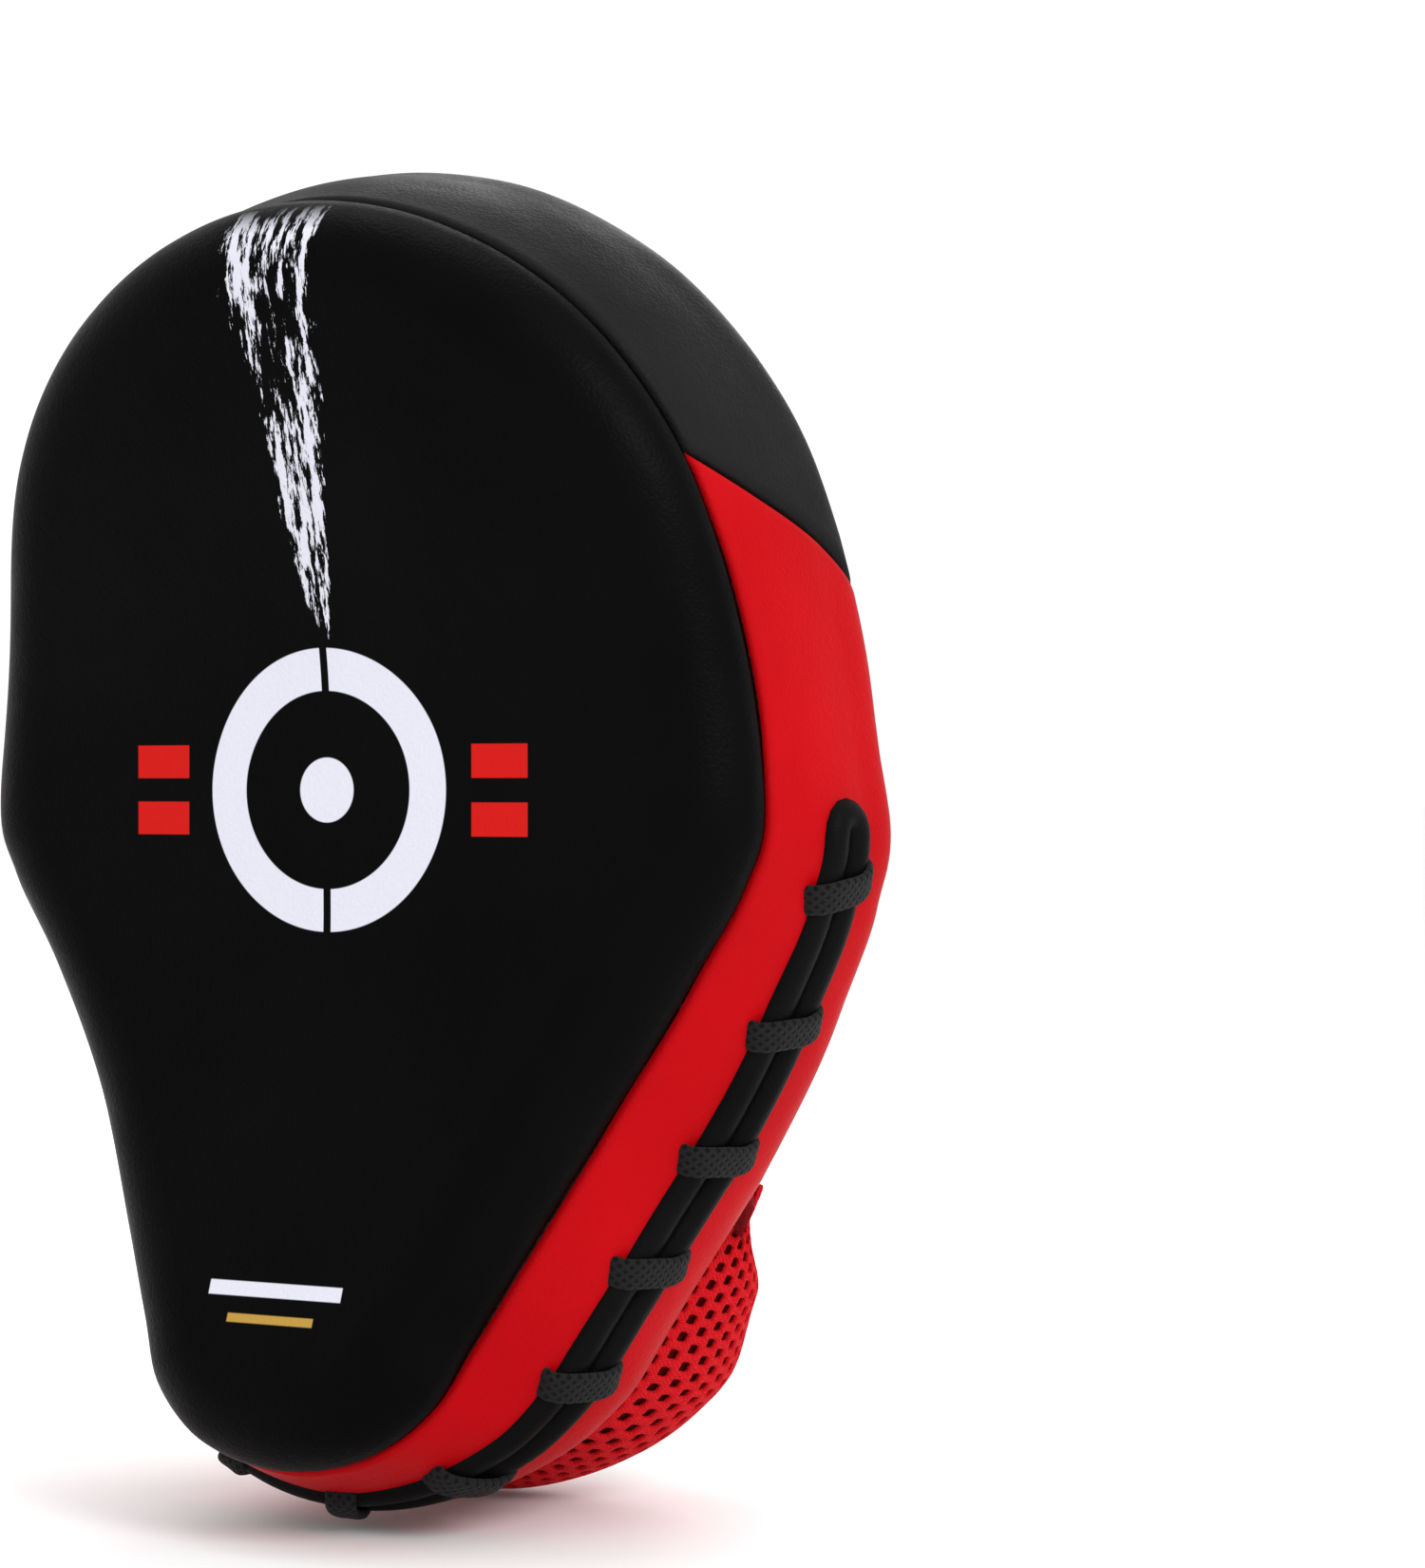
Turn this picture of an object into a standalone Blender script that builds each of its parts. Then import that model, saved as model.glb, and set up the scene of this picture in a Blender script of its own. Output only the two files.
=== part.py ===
"""Curved boxing focus mitt, worn on the trainer's hand.

The head is a pear-shaped pad with a concave striking face, a side wall with a
laced slot round its lower half, and foam inside. On its hand side are a finger
hood, a hand band with a tongue, and a wrist bolster.

Frame: metres. +Z runs towards the fingertips, -Y faces the striker, and the
mitt is symmetric about X = 0. The origin lies on the palm plane at the middle
of the grip. A place on the mitt is given by x across it, s along the bent
spine of the striking face, and n behind that face.
"""
import math

import bmesh
import bpy
from mathutils import Vector

MM = 0.001
GAP = 0.3 * MM
LEATHER = 1.5 * MM

# The pad.
PAD_DEPTH = 64 * MM
FACE_ROUND = 18 * MM
BEND_RADIUS = 150 * MM
FLAT_HALF = 16 * MM
TILT_FINGERS = math.radians(15)
TILT_WRIST = math.radians(19)
WALL_LEAN = 0.55
HEAD_RADIUS = 93 * MM
HEAD_CENTRE_S = 43 * MM
HEAD_ARC_DEGREES = (90, 70, 50, 30, 10)
SIDE_KNOTS_MM = (
    (99.5, 8), (94.5, -12), (82.5, -31), (66, -58), (51, -88),
    (41.5, -108), (34, -123), (20, -134), (0, -138),
)

# The side wall, as (outward offset, depth) in millimetres from the face seam to
# the back edge: straight round the fingers, flared and deeper round the wrist.
WALL_UPPER_MM = ((0, 18.3), (3, 32), (4.5, 47), (4, 60), (-4, 66))
WALL_LOWER_MM = ((0, 18.3), (9.5, 32.5), (13.5, 49), (13.5, 63), (6.5, 74))
FLARE_START_S = 25 * MM
FLARE_FULL_S = -55 * MM
FLARE_FADE_S = -106 * MM
SPINE_END_S = -138 * MM
WRIST_END_FLARE = 0.0
WAIST_WRAP = 9 * MM
WAIST_WRAP_S = -6 * MM
WAIST_WRAP_SPAN = 34 * MM

# The seams of the side wall.
GUSSET_SEAM_FRONT_S = 78 * MM
GUSSET_SEAM_BACK_S = 35 * MM
SLOT_TOP_S = 6 * MM
SLOT_MIDDLE = 0.395
WALL_ROWS = (0, 0.11, 0.22, 0.33, 0.45, 0.56, 0.7, 0.85, 1)
SLOT_ROWS = (2, 5)
WELT_RADIUS = 3.3 * MM
WELT_OFFSET = 3.6 * MM
LACE_RADIUS = 0.95 * MM
LACE_CROSSINGS = 13
LACE_START = 9 * MM

# The finger hood.
HOOD_SEAM_MM = ((27, 129), (40, 101), (59, 78), (78, 59), (87, 49), (90, 30), (86, 5), (78, -11))
HOOD_MOUTH_MM = ((0, 0), (0.25, 3), (0.47, 12), (0.7, 24), (0.86, 15), (1, -11))
HOOD_RISE = 56 * MM
HOOD_BASE_DEPTH = 67.5 * MM
HOOD_CREST_S = 35 * MM
HOOD_TOP_S = 132 * MM
HOOD_LINING_TOP_S = 116 * MM
STRIP_ROWS = 12
PATCH_EDGE_MM = (
    (20, 126), (30, 111), (41, 94), (54, 76), (61, 58),
    (60, 44), (50, 31), (37, 20), (18, 12), (0, 9),
)

# The hand band and its tongue.
BAND_TOP_S = -13 * MM
BAND_BOTTOM_S = -66 * MM
BAND_RISE = 29 * MM
BAND_EDGE_DEPTH = 75.5 * MM
TONGUE_HALF_WIDTH = 60 * MM
TONGUE_TOP_S = 46 * MM
BINDING_RADIUS = 2 * MM

# The wrist bolster.
BOLSTER_TOP_S = -58 * MM
BOLSTER_TOP_HALF = 34 * MM
BOLSTER_EDGE_S = -59 * MM
BOLSTER_FULL_S = -100 * MM
BOLSTER_FLOOR = 67 * MM
BOLSTER_SHOULDER_DEPTH = 104 * MM
BOLSTER_PEAK_DEPTH = 117 * MM
BOLSTER_DISH = 8 * MM
BOLSTER_RIM_MM = ((49, -80), (47, -88), (40, -98), (25, -109), (0, -115))
SKIRT_SWELL = 9 * MM
WEDGE_TOP_S = -70 * MM
WEDGE_END_S = -103 * MM
WEDGE_MARGIN = 8 * MM

PAD_MIDDLE = Vector((0, -30 * MM, 0))
BOLSTER_MIDDLE = Vector((0, -30 * MM, -120 * MM))
BOLSTER_RIM = [(x * MM, s * MM) for x, s in BOLSTER_RIM_MM]
RING = 56


def clear_scene():
    for item in list(bpy.data.objects):
        bpy.data.objects.remove(item, do_unlink=True)


def material(name, colour, roughness):
    mat = bpy.data.materials.new(name)
    mat.use_nodes = True
    shader = mat.node_tree.nodes["Principled BSDF"]
    shader.inputs["Base Color"].default_value = (*colour, 1.0)
    shader.inputs["Roughness"].default_value = roughness
    shader.inputs["Metallic"].default_value = 0.0
    mat.diffuse_color = (*colour, 1.0)
    return mat


def mix(a, b, t):
    return a + (b - a) * t


def smoothstep(start, end, value):
    t = min(max((value - start) / (end - start), 0.0), 1.0)
    return t * t * (3 - 2 * t)


def curve_through(points, t):
    """Catmull-Rom curve through points, with t from 0 at the first to 1 at the last."""
    last = len(points) - 1
    place_on = min(max(t, 0.0), 1.0) * last
    i = min(int(place_on), last - 1)
    f = place_on - i
    p1, p2 = points[i], points[i + 1]
    p0 = points[i - 1] if i > 0 else tuple(2 * a - b for a, b in zip(p1, p2))
    p3 = points[i + 2] if i + 2 <= last else tuple(2 * b - a for a, b in zip(p1, p2))
    return tuple(
        0.5 * (2 * b + (c - a) * f + (2 * a - 5 * b + 4 * c - d) * f * f + (3 * b - a - 3 * c + d) * f ** 3)
        for a, b, c, d in zip(p0, p1, p2, p3)
    )


def in_metres(pairs):
    return [(a * MM, b * MM) for a, b in pairs]


# The bent frame of the pad.

def spine(s):
    """How far the face has come forward at s, its height, and its tilt."""
    side = 1.0 if s > 0 else -1.0
    run = max(abs(s) - FLAT_HALF, 0.0)
    limit = TILT_FINGERS if s > 0 else TILT_WRIST
    tilt = min(run / BEND_RADIUS, limit)
    straight = run - tilt * BEND_RADIUS
    forward = BEND_RADIUS * (1 - math.cos(tilt)) + straight * math.sin(tilt)
    height = min(abs(s), FLAT_HALF) + BEND_RADIUS * math.sin(tilt) + straight * math.cos(tilt)
    return forward, side * height, side * tilt


def place(x, s, n):
    forward, height, tilt = spine(s)
    lean = WALL_LEAN * tilt
    return Vector((x, n * math.cos(lean) - PAD_DEPTH - forward, height + n * math.sin(lean)))


def trace_outline(steps=900):
    """The closed outline of the pad at its face seam, as even steps of arc length."""
    knots = []
    for degrees in HEAD_ARC_DEGREES:
        angle = math.radians(degrees)
        knots.append((HEAD_RADIUS * math.cos(angle), HEAD_CENTRE_S + HEAD_RADIUS * math.sin(angle)))
    knots += in_metres(SIDE_KNOTS_MM)
    loop = knots + [(-x, s) for x, s in reversed(knots[1:-1])]
    fine = []
    count = len(loop)
    for i in range(count):
        span = [loop[(i + k) % count] for k in (-1, 0, 1, 2)]
        for k in range(40):
            fine.append(curve_through(span, (1 + k / 40) / 3))
    fine.append(fine[0])
    lengths = [0.0]
    for (x0, s0), (x1, s1) in zip(fine, fine[1:]):
        lengths.append(lengths[-1] + math.hypot(x1 - x0, s1 - s0))
    points = []
    j = 0
    for k in range(steps):
        target = lengths[-1] * k / steps
        while lengths[j + 1] < target:
            j += 1
        f = (target - lengths[j]) / (lengths[j + 1] - lengths[j])
        points.append((mix(fine[j][0], fine[j + 1][0], f), mix(fine[j][1], fine[j + 1][1], f)))
    return points, lengths[-1]


OUTLINE, OUTLINE_LENGTH = trace_outline()


def outline(u):
    """Point and outward normal at u, from 0 at the finger end, round by +X."""
    count = len(OUTLINE)
    at = (u % 1.0) * count
    i = int(at) % count
    f = at - int(at)
    a, b = OUTLINE[i], OUTLINE[(i + 1) % count]
    before, after = OUTLINE[(i - 4) % count], OUTLINE[(i + 5) % count]
    dx, ds = after[0] - before[0], after[1] - before[1]
    size = math.hypot(dx, ds)
    return (mix(a[0], b[0], f), mix(a[1], b[1], f)), (-ds / size, dx / size)


def u_at(s):
    """The outline's u on the +X side where it passes s."""
    for i in range(len(OUTLINE) // 2):
        above, below = OUTLINE[i][1], OUTLINE[i + 1][1]
        if above >= s > below:
            return (i + (above - s) / (above - below)) / len(OUTLINE)
    return 0.5


def rim(u, offset, n):
    (x, s), (nx, ns) = outline(u)
    return place(x + nx * offset, s + ns * offset, n)


def outline_half_width(s):
    return outline(u_at(s))[0][0]


def wall_stations(s):
    """The wall's cross-section at s, as (outward offset, depth) pairs."""
    flare = 1 - smoothstep(FLARE_FULL_S, FLARE_START_S, s)
    side_flare = flare * mix(WRIST_END_FLARE, 1.0, smoothstep(SPINE_END_S, FLARE_FADE_S, s))
    stations = []
    for (offset_up, depth_up), (offset_low, depth_low) in zip(WALL_UPPER_MM, WALL_LOWER_MM):
        stations.append((mix(offset_up, offset_low, side_flare) * MM, mix(depth_up, depth_low, flare) * MM))
    wrap = WAIST_WRAP * math.exp(-((s - WAIST_WRAP_S) / WAIST_WRAP_SPAN) ** 2)
    offset, depth = stations[-1]
    stations[-1] = (offset - wrap, depth + 0.15 * wrap)
    return stations


def wall(u, v):
    """The wall's outer surface, with v from 0 at the face seam to 1 at the back edge."""
    (_, s), _ = outline(u)
    offset, depth = curve_through(wall_stations(s), v)
    return rim(u, offset, depth)


def back_edge(s):
    """Half width and depth where the wall ends on the hand side."""
    offset, depth = wall_stations(s)[-1]
    return outline_half_width(s) + offset, depth


# Solids.

def add_object(name, mesh_builder, mat):
    bmesh.ops.recalc_face_normals(mesh_builder, faces=mesh_builder.faces)
    mesh = bpy.data.meshes.new(name)
    mesh_builder.to_mesh(mesh)
    mesh_builder.free()
    mesh.shade_smooth()
    mesh.set_sharp_from_angle(angle=math.radians(40))
    mesh.materials.append(mat)
    item = bpy.data.objects.new(name, mesh)
    bpy.context.scene.collection.objects.link(item)
    return item


def loft(name, rings, mat):
    """A solid through rings of (outward offset, depth), closed by a cap at each end.

    A ring's entries may be functions of s. Each cap is a row of strips across
    the mitt, so it follows the bend of the spine.
    """
    bm = bmesh.new()
    loops = []
    for offset, depth in rings:
        loop = []
        for i in range(RING):
            (_, s), _ = outline(i / RING)
            off = offset(s) if callable(offset) else offset
            deep = depth(s) if callable(depth) else depth
            loop.append(bm.verts.new(rim(i / RING, off, deep)))
        loops.append(loop)
    for loop, following in zip(loops, loops[1:]):
        for i in range(RING):
            j = (i + 1) % RING
            bm.faces.new((loop[i], loop[j], following[j], following[i]))
    half = RING // 2
    for loop in (loops[0], loops[-1]):
        bm.faces.new((loop[0], loop[1], loop[-1]))
        for i in range(1, half - 1):
            bm.faces.new((loop[i], loop[i + 1], loop[RING - i - 1], loop[RING - i]))
        bm.faces.new((loop[half - 1], loop[half], loop[half + 1]))
    return add_object(name, bm, mat)


def raised(surface, inside=PAD_MIDDLE):
    """surface(a, b) as (a, b, height), along the normal that points away from inside."""
    step = 1e-4

    def lifted(a, b, height):
        point = surface(a, b)
        da = surface(min(a + step, 1), b) - surface(max(a - step, 0), b)
        db = surface(a, min(b + step, 1)) - surface(a, max(b - step, 0))
        normal = da.cross(db).normalized()
        if normal.dot(point - inside) < 0:
            normal = -normal
        return point + normal * height

    return lifted


def shell(name, surface, cells, layer, mat, hole=None):
    """A solid between two heights of surface(a, b, height), with a and b in 0..1.

    cells is the grid's size, and hole(a, b) leaves cells out.
    """
    across, along = cells
    bm = bmesh.new()
    low, high = {}, {}
    for i in range(across + 1):
        for j in range(along + 1):
            low[i, j] = bm.verts.new(surface(i / across, j / along, layer[0]))
            high[i, j] = bm.verts.new(surface(i / across, j / along, layer[1]))
    kept = {
        (i, j) for i in range(across) for j in range(along)
        if hole is None or not hole((i + 0.5) / across, (j + 0.5) / along)
    }
    for i, j in sorted(kept):
        corners = ((i, j), (i + 1, j), (i + 1, j + 1), (i, j + 1))
        first = 0 if 2 * i + 1 < across else 1
        for triangle in ((0, 1, 2), (0, 2, 3)):
            picked = [corners[(first + k) % 4] for k in triangle]
            bm.faces.new([high[c] for c in picked])
            bm.faces.new([low[c] for c in reversed(picked)])
        neighbours = ((i, j - 1), (i + 1, j), (i, j + 1), (i - 1, j))
        for k, neighbour in enumerate(neighbours):
            if neighbour not in kept:
                p, q = corners[k], corners[(k + 1) % 4]
                bm.faces.new((high[p], low[p], low[q], high[q]))
    loose = [v for v in bm.verts if not v.link_faces]
    bmesh.ops.delete(bm, geom=loose, context="VERTS")
    return add_object(name, bm, mat)


def tube(name, points, radius, mat, closed=False, resolution=2):
    """A round cord or rolled edge through points, with capped ends."""
    curve = bpy.data.curves.new(name, "CURVE")
    curve.dimensions = "3D"
    curve.bevel_depth = radius
    curve.bevel_resolution = resolution
    curve.use_fill_caps = not closed
    spline = curve.splines.new("POLY")
    spline.points.add(len(points) - 1)
    for point, position in zip(spline.points, points):
        point.co = (*position, 1.0)
    spline.use_cyclic_u = closed
    curve.materials.append(mat)
    item = bpy.data.objects.new(name, curve)
    bpy.context.scene.collection.objects.link(item)
    return item


# The pad's own pieces.

def make_strike_cover(mat):
    """The striking face and its rounded edge, an open tray of leather."""
    rings = []
    inner = FACE_ROUND - LEATHER
    angles = [math.radians(a) for a in (90, 60, 30, 0)]
    for angle in angles:
        rings.append((FACE_ROUND * (math.cos(angle) - 1), FACE_ROUND * (1 - math.sin(angle))))
    for angle in reversed(angles):
        rings.append((inner * math.cos(angle) - FACE_ROUND, FACE_ROUND - inner * math.sin(angle)))
    return loft("strike_cover", rings, mat)


def foam_inset(s):
    """Foam stands back from the wall, and further where the slot is."""
    lower = 1 - smoothstep(FLARE_FULL_S, FLARE_START_S + 20 * MM, s)
    return -mix(4.5, 6, lower) * MM


def make_foam(mats):
    """Three glued foam sheets that fill the head."""
    loft("foam_strike_sheet", (
        (-18.5 * MM, LEATHER + GAP), (-11 * MM, 4.4 * MM), (-5.4 * MM, 9.8 * MM), (-4.5 * MM, 13 * MM),
    ), mats["foam_firm"])
    loft("foam_core", (
        (foam_inset, 13 * MM + GAP), (foam_inset, 42 * MM),
    ), mats["foam_soft"])
    loft("foam_back_board", (
        (foam_inset, 42 * MM + GAP), (lambda s: foam_inset(s) - 2 * MM, 56 * MM),
        (lambda s: back_inset(s) - 1 * MM, PAD_DEPTH - LEATHER - GAP),
    ), mats["foam_firm"])


def back_inset(s):
    return wall_stations(s)[-1][0] - 2.2 * MM


def make_back_panel(mat):
    """The palm-side panel, which shows as two padded crescents beside the hood."""
    loft("back_panel", (
        (back_inset, PAD_DEPTH - LEATHER), (back_inset, PAD_DEPTH),
    ), mat)


def gusset_u(v):
    s = mix(GUSSET_SEAM_FRONT_S, GUSSET_SEAM_BACK_S, v)
    return u_at(s)


def wall_row(b):
    """The wall's v at b, where equal steps of b run through WALL_ROWS."""
    at = b * (len(WALL_ROWS) - 1)
    i = min(int(at), len(WALL_ROWS) - 2)
    return mix(WALL_ROWS[i], WALL_ROWS[i + 1], at - i)


def make_wall(mats):
    """The black gusset over the fingers and the red band with the laced slot."""
    clearance = 1.2 * GAP / OUTLINE_LENGTH

    def gusset(a, b):
        v = wall_row(b)
        reach = gusset_u(v) - clearance
        return wall(mix(-reach, reach, a), v)

    def side(a, b):
        v = wall_row(b)
        reach = gusset_u(v) + clearance
        return wall(mix(1 - reach, reach, a), v)

    def slot(a, b):
        slot_u = u_at(SLOT_TOP_S)
        v = wall_row(b)
        u = mix(1 - gusset_u(v), gusset_u(v), a)
        return slot_u < u < 1 - slot_u and WALL_ROWS[SLOT_ROWS[0]] < v < WALL_ROWS[SLOT_ROWS[1]]

    rows = len(WALL_ROWS) - 1
    shell("upper_gusset", raised(gusset), (20, rows), (-LEATHER, 0), mats["black_leather"])
    shell("side_panel", raised(side), (42, rows), (-LEATHER, 0), mats["red_leather"], hole=slot)


def slot_frame(u):
    """Middle of the slot at u, the way across it, and the way out of it."""
    step = 1e-3
    middle = wall(u, SLOT_MIDDLE)
    across = (wall(u, SLOT_MIDDLE + step) - wall(u, SLOT_MIDDLE - step)).normalized()
    along = (wall(u + step, SLOT_MIDDLE) - wall(u - step, SLOT_MIDDLE)).normalized()
    outward = along.cross(across).normalized()
    if outward.dot(rim(u, 10 * MM, 40 * MM) - rim(u, 0, 40 * MM)) < 0:
        outward = -outward
    return middle, across, outward


def slot_point(u, across_by, out_by):
    middle, across, outward = slot_frame(u)
    return middle + across * across_by + outward * out_by


def make_slot(mats):
    """The slot's rolled welt, the tongue behind it and the lace over both."""
    start = u_at(SLOT_TOP_S - 9 * MM)
    rows = 30
    path = []
    for k in range(rows + 1):
        path.append(slot_point(mix(start, 1 - start, k / rows), -WELT_OFFSET, 0))
    cap_u = 3.0 * MM / OUTLINE_LENGTH
    path.append(slot_point(1 - start + cap_u, 0, 0))
    for k in range(rows + 1):
        path.append(slot_point(mix(1 - start, start, k / rows), WELT_OFFSET, 0))
    path.append(slot_point(start - cap_u, 0, 0))
    tube("slot_welt", path, WELT_RADIUS, mats["black_leather"], closed=True, resolution=1)

    def backing(a, b, height):
        return slot_point(mix(1 - start, start, a), mix(-9.5, 9.5, b) * MM, height)

    shell("lace_tongue", backing, (30, 2), (-8.4 * MM, -7.2 * MM), mats["black_leather"])

    over = WELT_RADIUS + LACE_RADIUS + 2 * GAP
    beside = WELT_OFFSET + WELT_RADIUS + LACE_RADIUS + 1.5 * GAP
    corner = 0.86
    first = start + LACE_START / OUTLINE_LENGTH
    spacing = (1 - 2 * first) / (LACE_CROSSINGS - 1)
    lace = []
    for k in range(LACE_CROSSINGS):
        u = first + spacing * k
        lace += [
            slot_point(u, -beside, -over * corner), slot_point(u, -beside, 0.4 * over),
            slot_point(u, -beside * 0.72, over), slot_point(u, 0, over),
            slot_point(u, beside * 0.72, over), slot_point(u, beside, 0.4 * over),
            slot_point(u, beside, -over * corner),
        ]
        if k < LACE_CROSSINGS - 1:
            lace.append(slot_point(u + spacing / 2, 0, -over - GAP))
    tube("slot_lace", lace, LACE_RADIUS, mats["lace"], resolution=1)


# The finger hood.

HOOD_SEAM = in_metres(HOOD_SEAM_MM)


def hood_half_width(s):
    """The hood seam's half width at s."""
    if s >= HOOD_SEAM[0][1]:
        return HOOD_SEAM[0][0]
    for (x0, s0), (x1, s1) in zip(HOOD_SEAM, HOOD_SEAM[1:]):
        if s0 >= s >= s1:
            return mix(x0, x1, (s0 - s) / (s0 - s1))
    return HOOD_SEAM[-1][0]


def hood_depth(x, s):
    """Depth of the hood's outer surface over x and s."""
    crown = HOOD_RISE * (1 - smoothstep(HOOD_CREST_S, HOOD_TOP_S, s)) ** 0.5
    share = min(abs(x) / hood_half_width(s), 1.0)
    return HOOD_BASE_DEPTH + crown * (1 - share ** 2.4) ** 0.72


def mouth_s(share):
    points = [(p, q * MM) for p, q in HOOD_MOUTH_MM]
    for k in range(200):
        p, s = curve_through(points, k / 199)
        if p >= abs(share):
            return s
    return points[-1][1]


def hood(a, b, height=0.0, top=HOOD_TOP_S - 4 * MM, mouth_gap=0.0):
    """The hood, with a across it and b from its finger end to its mouth.

    A height below 0 is a smaller arch inside the outer surface.
    """
    share = mix(1, -1, a)
    s = mix(top, mouth_s(share) + mouth_gap, b)
    width = hood_half_width(s)
    rise = hood_depth(share * width, s) - HOOD_BASE_DEPTH
    crown = max(hood_depth(0, s) - HOOD_BASE_DEPTH, 1 * MM)
    return place(share * (width + height), s, HOOD_BASE_DEPTH + rise * (crown + height) / crown)


def patch(a, b):
    """The leather patch on the crown, bounded by its own edge curve."""
    edge = in_metres(PATCH_EDGE_MM)
    x, s = curve_through(edge, b)
    x = mix(x, -x, a)
    dip = 4 * MM * b * (1 - b)
    return place(x, s - dip, hood_depth(x, s))


def patch_rows(a, b):
    return patch(a, 0.02 + 0.93 * b)


def hood_edge(offset, depth, start, end, count, side):
    """Points beside the hood's seam, offset outward from it."""
    points = []
    for k in range(count):
        x, s = curve_through(HOOD_SEAM, mix(start, end, k / (count - 1)))
        x2, s2 = curve_through(HOOD_SEAM, mix(start, end, k / (count - 1)) + 1e-3)
        size = math.hypot(x2 - x, s2 - s)
        nx, ns = -(s2 - s) / size, (x2 - x) / size
        points.append(place(side * (x + nx * offset), s + ns * offset, depth))
    return points


def make_hood(mats):
    """Mesh dome, leather patch, padding, lining, and the trim along the seams."""
    def inner(a, b, height):
        return hood(a, b, height, HOOD_LINING_TOP_S, 3 * MM)

    shell("hood_mesh", hood, (20, 11), (-2 * MM, 0), mats["red_mesh"])
    shell("hood_patch", raised(patch_rows), (10, 9), (2.4 * MM, 3.6 * MM), mats["red_leather"])
    shell("hood_padding", inner, (16, 8), (-7 * MM, -3.8 * MM), mats["foam_soft"])
    shell("hood_lining", inner, (16, 8), (-9 * MM, -7.8 * MM), mats["black_leather"])
    mouth = [hood(k / 20, 1, -1 * MM, mouth_gap=-2.4 * MM) for k in range(21)]
    tube("hood_mouth_binding", mouth, 1.4 * MM, mats["red_leather"], resolution=1)
    for side, word in ((1, "right"), (-1, "left")):
        piping = hood_edge(2.2 * MM, PAD_DEPTH + 2.6 * MM, 0.05, 0.5, 14, side)
        tube("hood_piping_" + word, piping, 1.7 * MM, mats["red_leather"], resolution=1)
        tape_near = hood_edge(4.6 * MM, PAD_DEPTH, 0.12, 0.38, STRIP_ROWS + 1, side)
        tape_far = hood_edge(8.5 * MM, PAD_DEPTH, 0.14, 0.34, STRIP_ROWS + 1, side)

        def strip(a, b, tape_near=tape_near, tape_far=tape_far):
            k = min(int(b * STRIP_ROWS), STRIP_ROWS - 1)
            near = tape_near[k].lerp(tape_near[k + 1], b * STRIP_ROWS - k)
            far = tape_far[k].lerp(tape_far[k + 1], b * STRIP_ROWS - k)
            return near.lerp(far, a)

        shell("hood_strip_" + word, raised(strip), (1, STRIP_ROWS), (2 * GAP, 2.2 * MM), mats["red_leather"])


# The hand band.

def band_half_width(s):
    return back_edge(s)[0] - 1.5 * MM


def band_depth(x, s):
    """Depth of the band's outer surface: an arch over the back of the hand."""
    reach = band_half_width(min(s, BAND_TOP_S))
    share = min(abs(x) / reach, 1.0)
    return BAND_EDGE_DEPTH + BAND_RISE * (1 - share ** 2.6) ** 0.75


def seam_half_width(s):
    """Half width of the band's centre panel, which narrows towards the wrist."""
    return mix(TONGUE_HALF_WIDTH, 49 * MM, (s - BAND_TOP_S) / (BAND_BOTTOM_S - BAND_TOP_S))


def make_band(mats):
    """Tongue over the knuckles, band over the hand, and their rolled edges."""
    white = mats["white_leather"]

    def tongue(a, b):
        s = mix(TONGUE_TOP_S, BAND_TOP_S + GAP, b)
        narrow = 1 - 0.12 * smoothstep(BAND_TOP_S, TONGUE_TOP_S, s)
        x = mix(1, -1, a) * TONGUE_HALF_WIDTH * narrow
        return place(x, s, band_depth(x, s) - 6 * MM * smoothstep(0, TONGUE_TOP_S, s))

    def centre(a, b):
        s = mix(BAND_TOP_S, BAND_BOTTOM_S, b)
        x = mix(1, -1, a) * (seam_half_width(s) - GAP / 2)
        return place(x, s, band_depth(x, s))

    shell("hand_tongue", raised(tongue), (12, 5), (-LEATHER, 0), white)
    shell("hand_band_centre", raised(centre), (12, 7), (-2 * MM, 0), white)
    for side, word in ((1, "right"), (-1, "left")):
        def gore(a, b, side=side):
            s = mix(BAND_TOP_S, BAND_BOTTOM_S, b)
            x = mix(seam_half_width(s) + GAP / 2, band_half_width(s), a if side < 0 else 1 - a)
            return place(side * x, s, band_depth(x, s))

        shell("hand_band_" + word, raised(gore), (3, 7), (-2 * MM, 0), white)
        hem = []
        for k in range(5):
            x = mix(TONGUE_HALF_WIDTH + 2.2 * MM, band_half_width(BAND_TOP_S) - 2 * MM, k / 4)
            s = BAND_TOP_S + 1.6 * MM
            hem.append(place(side * x, s, band_depth(x, s) - 0.8 * MM))
        tube("band_top_hem_" + word, hem, 1.2 * MM, white, resolution=1)
    binding = []
    for k in range(25):
        s = BAND_BOTTOM_S - BINDING_RADIUS - GAP
        x = mix(-1, 1, k / 24) * (band_half_width(s) - 1 * MM)
        binding.append(place(x, s, band_depth(x, s) - 1 * MM))
    tube("band_binding", binding, BINDING_RADIUS, white, resolution=1)


# The wrist bolster.

def cover_half_width(s):
    """Half width of the bolster's cover at s."""
    rim_x, rim_s = BOLSTER_RIM[0]
    if s >= rim_s:
        return mix(BOLSTER_TOP_HALF, rim_x, min((BOLSTER_TOP_S - s) / (BOLSTER_TOP_S - rim_s), 1))
    for (x0, s0), (x1, s1) in zip(BOLSTER_RIM, BOLSTER_RIM[1:]):
        if s0 >= s >= s1:
            return mix(x0, x1, (s0 - s) / (s0 - s1))
    return 0.0


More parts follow.
